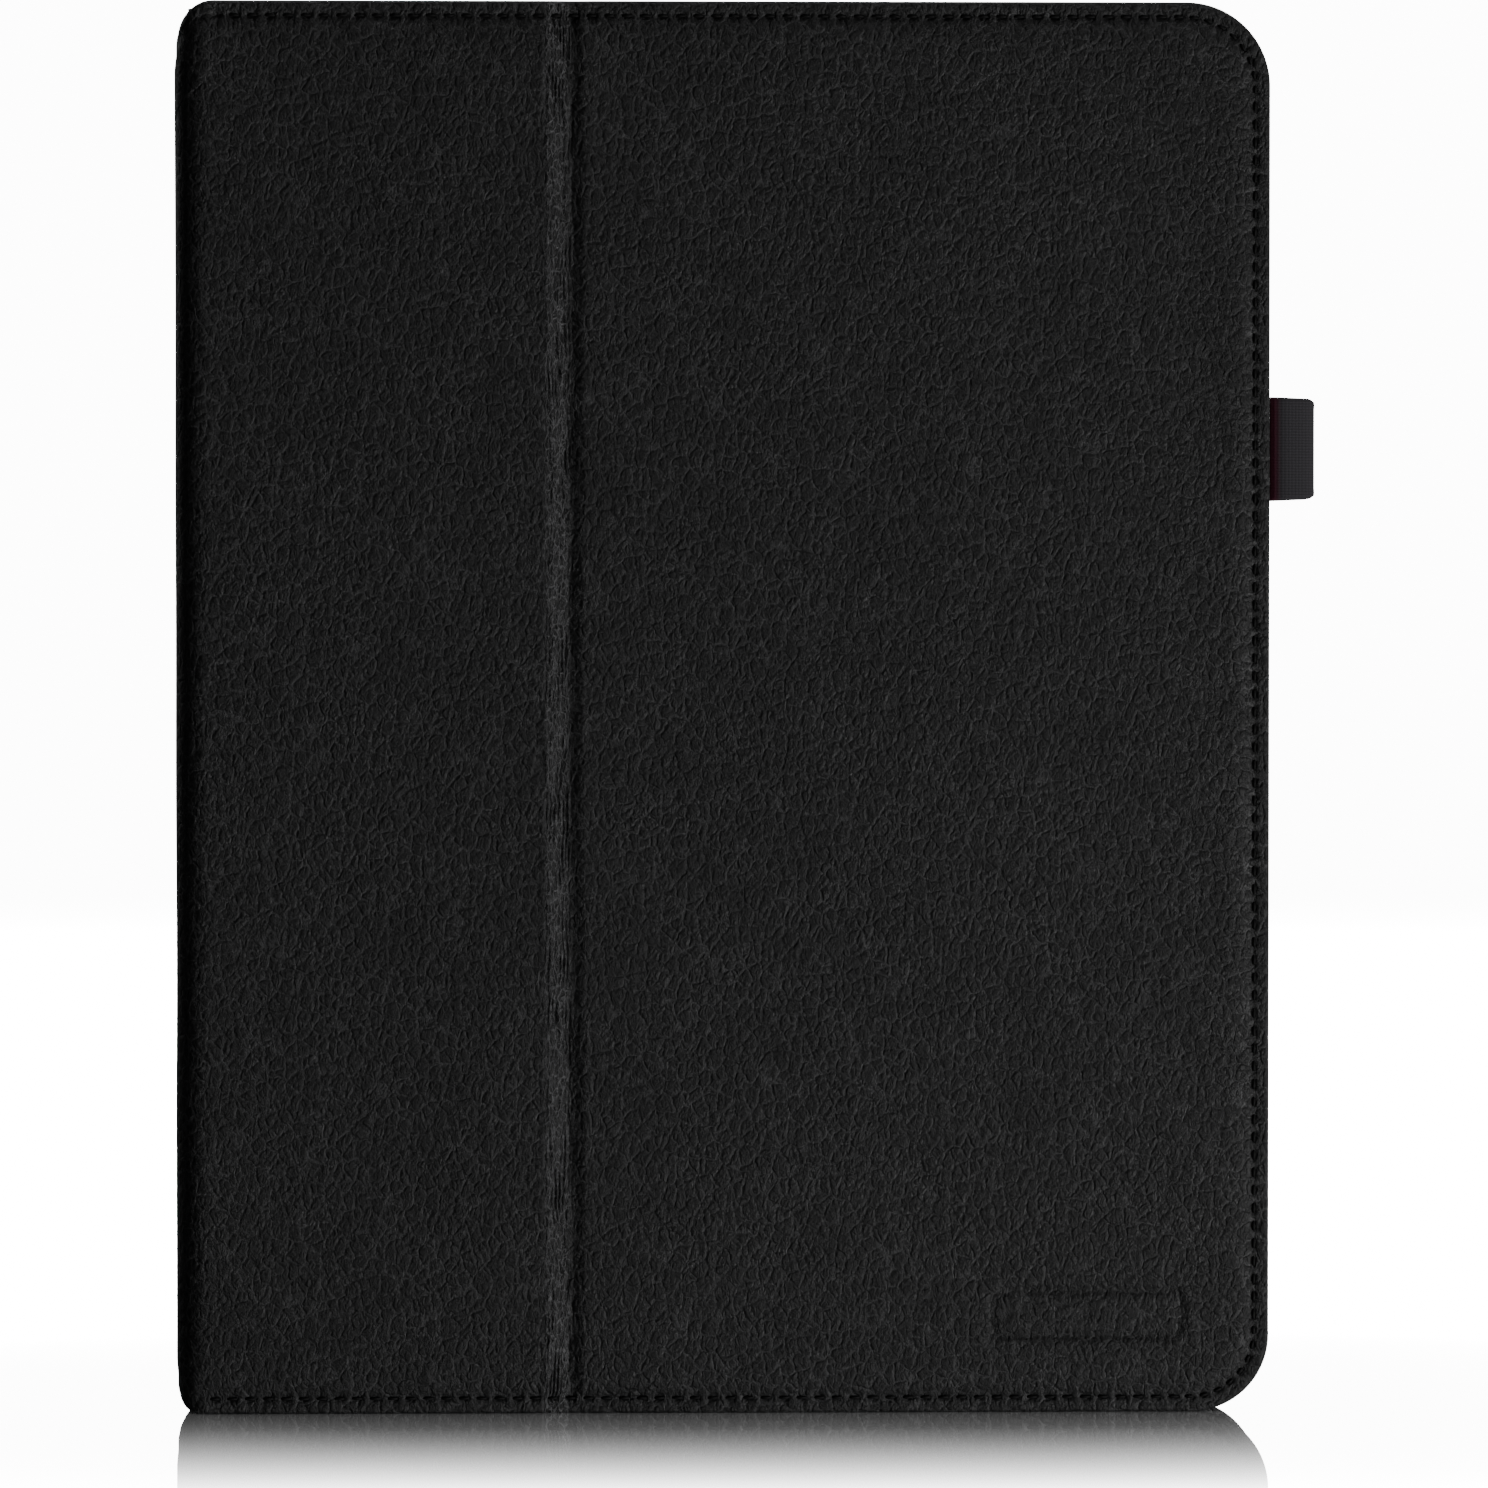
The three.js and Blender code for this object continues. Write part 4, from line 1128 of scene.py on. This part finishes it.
# %% The band along it
def loop_points(route):
    """The band's section, a thin strip with rounded edges, at every step of the route. It is
    drawn once up one face and once down the other, and the strip narrows towards its far end."""
    tangent = np.gradient(route, axis=0)
    tangent /= np.linalg.norm(tangent, axis=1, keepdims=True)
    normal = np.stack([tangent[:, 1], -tangent[:, 0]], -1)
    along = along_outline(route)
    rib = 0.035 * (np.abs(np.sin(np.pi * along / rib_pitch)) ** 0.7 - 0.6)
    z0, z1 = loop_low[2], loop_high[2]
    r = 0.3
    rise = r * (1 - np.cos(np.linspace(0.5, np.pi / 2, 3)))
    levels = [[z0], z0 + rise, np.linspace(z0 + 0.8, z1 - 0.8, 22), z1 - rise[::-1], [z1]]
    levels = np.concatenate(levels)
    swell = np.minimum(np.minimum(levels - z0, z1 - levels) / r, 1)
    half_band = (band / 2) * np.sqrt(np.clip(1 - (1 - swell) ** 2, 0.12, 1))
    selvedge = 0.06 * (bell(levels, z0 + 0.9, 0.5) + bell(levels, z1 - 0.9, 0.5))
    near_end = np.clip(1 - (loop_high[0] - route[:, 0]) / end_round, 0, 1)
    taper = 0.3 * step(route[:, 0], width, loop_high[0])
    narrow = end_round * (1 - np.sqrt(1 - near_end**2)) + taper
    middle = (z0 + z1) / 2
    height_left = 1 - narrow[None, :] / (z1 - middle)
    faces = []
    for sign, order in ((1, slice(None)), (-1, slice(None, None, -1))):
        level, round_edge = levels[order][:, None], swell[order][:, None]
        reach = (half_band + selvedge)[order][:, None] + np.where(round_edge > 0.9, rib[None, :], 0)
        x, y = (route[:, k] + sign * normal[:, k] * reach for k in (0, 1))
        faces.append(np.stack([x, y, middle + (level - middle) * height_left], -1))
    return np.concatenate(faces).transpose(1, 0, 2)


loop_grid = loop_points(route)
loop_count, per = loop_grid.shape[:2]
caps = [np.arange(per)[None, :], ((loop_count - 1) * per + np.arange(per))[None, ::-1]]
loop_faces = [grid_faces(loop_count, per, around=True), *caps]
loop = make("stylus_loop_band", loop_grid.reshape(-1, 3), loop_faces, elastic, "elastic", flip=True)
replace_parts(loop, "stylus_loop")
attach(loop, "back_cover")
print(f"band of {per} points round, {rib_pitch} mm a rib")

# %% [markdown]
# ## The bezel
#
# The bezel is leather over a thin stiffener, with a window for the screen and two notches, for
# the home button and the camera. It is a ring between two outlines: from every point of the
# outer outline a straight line runs towards the middle and stops at the window.

# %% The bezel's two outlines
bezel_low, bezel_high = case_box("bezel_leather")
bezel_radii = {"spine_low": 6.0, "free_low": 12.0, "free_top": 12.0, "spine_top": 6.0}
bezel_seam = 1.85
bezel_round = 0.35


def rounded_outline(low, high, radii, spacing=0.5):
    """A closed outline from low to high with a radius at each corner, from spine_low round."""
    middle = (low + high) / 2
    sides = np.array([[-1, -1], [1, -1], [1, 1], [-1, 1]])
    parts = []
    for start, side, radius in zip((180, 270, 0, 90), sides, radii.values()):
        centre = middle + side * ((high - low) / 2 - radius)
        parts.append(arc(centre, radius, start, start + 90, 24))
    shape = np.concatenate([*parts, parts[0][:1]])
    along = along_outline(shape)
    at = np.linspace(0, along[-1], int(along[-1] / spacing), endpoint=False)
    return np.stack([np.interp(at, along, shape[:, k]) for k in range(2)], -1)


def window_outline():
    """The bezel's inner outline as the CAD has it, in order round its middle: those corners of
    its front face that lie well inside its outer outline."""
    points = node_points("bezel_leather")
    on_front = np.abs(points[:, 1] - bezel_low[1]) < 0.02
    front = np.unique(points[on_front][:, [0, 2]].round(3), axis=0)
    low, high, r = bezel_low[[0, 2]], bezel_high[[0, 2]], bezel_radii["spine_low"]
    reach = np.maximum(np.abs(front - (low + high) / 2) - (high - low) / 2 + r, 0)
    well_inside = 3.3
    inner = front[r - np.linalg.norm(reach, axis=1) > well_inside]
    middle = (inner.min(0) + inner.max(0)) / 2
    angle = np.arctan2(*(inner - middle).T[::-1])
    order = np.argsort(angle)
    return inner[order], angle[order], middle


def towards_window(outer):
    """Where the straight line from each outer point to the middle meets the inner outline."""
    inner, angle, middle = window_outline()
    ray = outer - middle
    k = np.searchsorted(angle, np.arctan2(ray[:, 1], ray[:, 0])) % len(inner)
    a, b = inner[k - 1] - middle, inner[k] - inner[k - 1]
    share = (a[:, 0] * b[:, 1] - a[:, 1] * b[:, 0]) / (ray[:, 0] * b[:, 1] - ray[:, 1] * b[:, 0])
    return middle + ray * share[:, None]


bezel_outer = rounded_outline(bezel_low[[0, 2]], bezel_high[[0, 2]], bezel_radii)
bezel_inner = towards_window(bezel_outer)
print(f"bezel of {len(bezel_outer)} points round")


# %% The bezel's leather
bezel_groove = [[0.8, 0.0], [1.2, 0.02], [1.5, 0.1], [bezel_seam, 0.16], [2.2, 0.1]]
bezel_rise = bezel_groove + [[2.6, -0.02], [3.4, -0.06]]
turned = (bezel_round, bezel_round)
from_outer = np.concatenate([arc(turned, bezel_round, 90, 270, 9), bezel_rise])
from_inner = np.concatenate([[[1.6, -0.04], [0.9, 0.0]], arc(turned, bezel_round, -90, 90, 9)])


def bezel_points():
    """Rows of the ring from its outer turned edge to its inner one. A row lies at a distance
    from one edge, along the lines that join the two outlines, and at a depth."""
    across = bezel_inner - bezel_outer
    length = np.linalg.norm(across, axis=1)
    under = under_stitch(along_outline(bezel_outer))
    places = [(np.minimum(a, length * 0.45) / length, d + 0.2 * under * bell(a, bezel_seam, 0.3))
              for a, d in from_outer]
    places += [(1 - np.minimum(b, length * 0.3) / length, d + 0 * length) for b, d in from_inner]
    share, depth = (np.array(values) for values in zip(*places))
    plan = bezel_outer + across * share[..., None]
    return np.stack([plan[..., 0], bezel_low[1] + depth, plan[..., 1]], -1)


bezel_grid = bezel_points()
bezel_rows, count = bezel_grid.shape[:2]
first_row = np.arange(count)
last_row = (bezel_rows - 1) * count + first_row
close = np.stack([last_row, np.roll(last_row, -1), np.roll(first_row, -1), first_row], -1)
bezel_faces = [grid_faces(bezel_rows, count, around=True), close]
bezel = make("bezel_sheet", bezel_grid.reshape(-1, 3), bezel_faces, sleeve_leather, "leather")
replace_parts(bezel, "bezel_leather")
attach(bezel, "back_cover")


def bezel_stitches():
    """Stitches just inside the bezel's outer edge."""
    towards = bezel_inner - bezel_outer
    seam = bezel_outer + towards / np.linalg.norm(towards, axis=1, keepdims=True) * bezel_seam
    seam = np.concatenate([seam, seam[:1]])
    along = along_outline(np.concatenate([bezel_outer, bezel_outer[:1]]))
    k = np.arange(np.floor(along[-1] / stitch_pitch))
    runs = [place_along(seam, along, (k + share) * stitch_pitch) for share in stitch_ends]
    for run in runs:
        run[:, 1] = bezel_low[1] + 0.12
    outward = np.tile([0.0, -1.0, 0.0], (len(k), 1))
    return stitch_tubes(*runs, outward, radius=0.22, dive=0.3)


bezel_thread = make("bezel_stitches", *bezel_stitches(), thread, "thread")
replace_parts(bezel_thread, "bezel_thread")
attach(bezel_thread, "back_cover")
print(f"bezel leather of {bezel_grid.size // 3} points, window {np.ptp(bezel_inner, axis=0).round(1)} mm")

# %% [markdown]
# ## The sleeve's walls
#
# The walls of the sleeve are plain strips of leather with rounded, painted edges. Their shape in
# the CAD is right but for those edges, so each is copied, its loose triangles are merged into one
# closed skin, and a Bevel rounds every edge that turns sharply.


# %% Rounded copies of the sleeve's walls
def rounded_copy(node, radius):
    """A copy of one of the sleeve's CAD nodes with its sharp edges rounded."""
    source = frame["nodes"][node]
    mesh = source.data.copy()
    work = bmesh.new()
    work.from_mesh(mesh)
    bmesh.ops.remove_doubles(work, verts=work.verts, dist=0.00001)
    bmesh.ops.dissolve_limit(work, angle_limit=0.01, verts=work.verts, edges=work.edges)
    work.to_mesh(mesh)
    work.free()
    mesh.materials.clear()
    mesh.materials.append(sleeve_leather)
    mesh.polygons.foreach_set("use_smooth", np.ones(len(mesh.polygons), bool))
    piece = bpy.data.objects.new(f"{node}_rounded", mesh)
    bpy.context.scene.collection.objects.link(piece)
    bevel = piece.modifiers.new("rounding", "BEVEL")
    bevel.width, bevel.segments = radius * MM, 3
    bevel.limit_method, bevel.angle_limit = "ANGLE", np.radians(35)
    bevel.harden_normals = True
    apply_modifiers(piece)
    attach(piece, "back_cover")
    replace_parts(piece, node)


gussets = [f"gusset_{place}" for place in ("top", "bottom", "free_side", "corner_top", "corner_bottom")]
walls = [*gussets, "retaining_flap"]
edge_round = 0.3
for wall in walls:
    rounded_copy(wall, edge_round)
print(f"{len(walls)} walls rounded")

# %% [markdown]
# ## The strip on the back
#
# A band of the same leather is sewn to the back along three sides. The front cover's edge tucks
# under its open side, so that side is lifted a little and its edge is turned.

# %% The strip's grid and edge
strip_low, strip_high = case_box("tuck_strip")
strip_inner = 3.6
strip_columns = spaced([strip_low[0] + strip_inner, strip_high[0] - strip_inner], [1.0])
strip_rows = spaced([strip_low[2] + strip_inner, strip_high[2] - strip_inner], [1.3])
strip_radii = {k: 3.0 for k in radii}
strip_seam = 2.0
strip_groove = [[0.9, 0.12], [1.3, 0.13], [1.65, 0.2], [strip_seam, 0.24], [2.35, 0.2], [2.8, 0.08]]
strip_profile = np.concatenate([
    [[0.9, 1.15]], arc((0.5, 0.65), 0.5, 90, 270, 9), strip_groove, [[3.2, 0.02], [strip_inner, 0.0]]])
print(f"strip of {strip_high[0] - strip_low[0]:.0f} x {strip_high[2] - strip_low[2]:.0f} mm")


# %% Tuck strip
def strip_piece():
    """Points, faces and outline of the strip. Its open side has no seam and bows outwards."""
    low, high = strip_low[[0, 2]], strip_high[[0, 2]]
    outline, near, grid = panel(
        strip_columns, strip_rows, *high, strip_radii, strip_inner, x0=low[0], z0=low[1])
    plan, inset, faces = ring_and_grid(
        strip_profile, outline, near, grid, strip_columns, strip_rows, strip_inner, around=True)
    rings = len(strip_profile) - 1
    along = np.concatenate([np.tile(along_outline(outline), rings), np.zeros(len(grid))])
    base = np.concatenate([np.repeat(strip_profile[:-1, 1], len(outline)), np.zeros(len(grid))])
    x, z = plan.T
    sewn = step(x, low[0] + 2.4, low[0] + 3.4)
    groove = 0.18 * under_stitch(along) * sewn * bell(inset, strip_seam, 0.35)
    from_middle = np.abs((z - height / 2) / (high[1] - low[1]) * 2)
    bow = 0.35 * (1 - step(x, low[0], low[0] + 9.0)) * (1 - from_middle**4)
    depth = base + groove - 0.03 * waves(x / 6, z / 9, 31) - bow
    points = np.stack([x, strip_high[1] - depth, z], -1)
    underside = np.arange(len(outline))[::-1][None, :]
    return points, [*faces, underside], outline


strip_points, strip_faces, strip_outline = strip_piece()
strip = make("tuck_strip_leather", strip_points, strip_faces, cover_leather, "leather", flip=True)
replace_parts(strip, "tuck_strip")
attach(strip, "back_cover")
starts, ends = seam_along(strip_outline, strip_columns, strip_rows, strip_inner, strip_seam)
keep = (starts[:, 0] > strip_low[0] + 2.6) & (ends[:, 0] > strip_low[0] + 2.6)
starts, ends = starts[keep], ends[keep]
for run in (starts, ends):
    run[:, 1] = strip_high[1] - 0.16
outward = np.tile([0.0, 1.0, 0.0], (len(starts), 1))
strip_tubes = stitch_tubes(starts, ends, outward, radius=0.24, dive=0.34)
strip_thread = make("tuck_strip_stitches", *strip_tubes, thread, "thread")
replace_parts(strip_thread, "tuck_strip_thread")
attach(strip_thread, "back_cover")
print(f"{len(starts)} stitches round the strip's three sewn sides")

# %% [markdown]
# ## The floor
#
# The case stands on polished white. A mirror shows the case's foot, and the reflection fades
# with distance, as it does on a sheet of white acrylic. So the floor is a perfect mirror at the
# case's foot and turns matt white, lit by a light of its own, a hand's width away. Far off it is
# a mirror again and shows the white world, so that no horizon is seen.


# %% Floor
floor_material, floor_place = surface("polished_white", 0.0, specular=0.0)
half_sizes = [(high - low) / 2 / MM for low, high in zip(*cad_bounds)]
beyond = [(floor_place.part(axis).absolute() - half).at_least(0.0) for axis, half in zip("xy", half_sizes)]
from_case = (beyond[0] * beyond[0] + beyond[1] * beyond[1]) ** 0.5
fade_rate, matt_from = 0.0457, 6.20 / 0.0457
matt = ((from_case - matt_from) * fade_rate).exponent().at_most(1.0)
matt = matt * (1 - from_case.ramp(900.0, 2200.0))
white_sheet = floor_place.noise(0.02).ramp(0.3, 0.7).blend(grey(0.95), grey(0.97))
floor_tree = floor_material.node_tree
for key, value in (("Base Color", white_sheet), ("Metallic", 1 - matt)):
    floor_tree.links.new(value.socket, floor_tree.nodes["Principled BSDF"].inputs[key])

reach = 40.0
floor_corners = [(-reach, -reach, 0), (reach, -reach, 0), (reach, reach, 0), (-reach, reach, 0)]
floor_mesh = bpy.data.meshes.new("floor")
floor_mesh.from_pydata(floor_corners, [], [(0, 1, 2, 3)])
floor_mesh.materials.append(floor_material)
floor = bpy.data.objects.new("floor", floor_mesh)
bpy.context.scene.collection.objects.link(floor)
floor.visible_diffuse = floor.visible_glossy = floor.visible_shadow = False
floor_only = bpy.data.collections.new("floor_only")
floor_only.objects.link(floor)
print(f"floor matt white from {matt_from:.0f} mm")

# %% [markdown]
# ## World, lights and camera
#
# Broad soft light comes from the right and the front, so the spine's side falls away into the
# dark. The world is white only where the camera looks at it, directly or in the floor's mirror:
# black leather would reflect a white room.

# %% World
world = bpy.data.worlds.new("studio")
bpy.context.scene.world = world
world.use_nodes = True
tree = world.node_tree
tree.nodes.clear()
dim, white = (tree.nodes.new("ShaderNodeBackground") for _ in range(2))
mix = tree.nodes.new("ShaderNodeMixShader")
for background, colour, strength in ((dim, (0.9, 0.95, 1.0), 0.02), (white, (1.0, 1.0, 1.0), 13.0)):
    background.inputs["Color"].default_value = (*colour, 1)
    background.inputs["Strength"].default_value = strength
path = tree.nodes.new("ShaderNodeLightPath")
direct, mirrored = (Value(tree, path.outputs[f"Is {kind} Ray"]) for kind in ("Camera", "Singular"))
out = tree.nodes.new("ShaderNodeOutputWorld")
tree.links.new(direct.at_least(mirrored).socket, mix.inputs[0])
tree.links.new(dim.outputs[0], mix.inputs[1])
tree.links.new(white.outputs[0], mix.inputs[2])
tree.links.new(mix.outputs[0], out.inputs[0])
print("world white to the camera, dim to the leather")


# %% Lights
def area_light(name, place, target, size, power):
    """A soft rectangular light at place, aimed at target."""
    light = bpy.data.lights.new(name, "AREA")
    light.shape = "RECTANGLE"
    light.size, light.size_y = size
    light.energy = power
    light.cycles.use_multiple_importance_sampling = False
    lamp = bpy.data.objects.new(name, light)
    bpy.context.scene.collection.objects.link(lamp)
    lamp.location = place
    aim = Vector(target) - Vector(place)
    lamp.rotation_euler = aim.to_track_quat("-Z", "Y").to_euler()
    return lamp


area_light("key_right", (1.05, -0.66, -0.28), (0.06, 0, 0.06), (0.6, 0.7), 17.5)
area_light("front_soft", (0.35, -1.5, -0.4), (0, 0, 0.08), (1.4, 0.8), 5.2)
area_light("back_soft", (0.55, 1.6, 0.55), (0, 0, 0.12), (1.4, 1.0), 22.0)
area_light("spine_soft", (-1.0, 1.3, 0.6), (0, 0, 0.12), (0.8, 0.8), 2.5)
area_light("top_soft", (0.1, 0.15, 1.5), (0, 0, 0.12), (1.0, 0.6), 9.0)
floor_light = area_light("floor_light", (0.0, 0.0, 3.0), (0, 0.01, 0), (6.0, 6.0), 6500.0)
floor_light.light_linking.receiver_collection = floor_only
floor_light.visible_camera = False

print("lights:", *(light.name for light in bpy.data.lights if light.type == "AREA"))

# %% Camera
sensor_width = 36.0
view_width = 0.2633
distance = 1.15
azimuth, elevation = np.radians(-1.4), np.radians(1.1)
off_centre = 3.7
target = np.array([(corner[0] + width / 2 + off_centre) * MM, cad_bounds[0][1], 0.1187])
level = np.array([np.sin(azimuth), -np.cos(azimuth), np.tan(elevation)])
offset = distance * level * np.cos(elevation)
camera_data = bpy.data.cameras.new("camera")
camera_data.lens = sensor_width * distance / view_width
camera = bpy.data.objects.new("camera", camera_data)
bpy.context.scene.collection.objects.link(camera)
camera.location = target + offset
camera.rotation_euler = Vector(-offset).to_track_quat("-Z", "Y").to_euler()
bpy.context.scene.camera = camera
print(f"camera {distance:.2f} m away with a {camera_data.lens:.0f} mm lens")
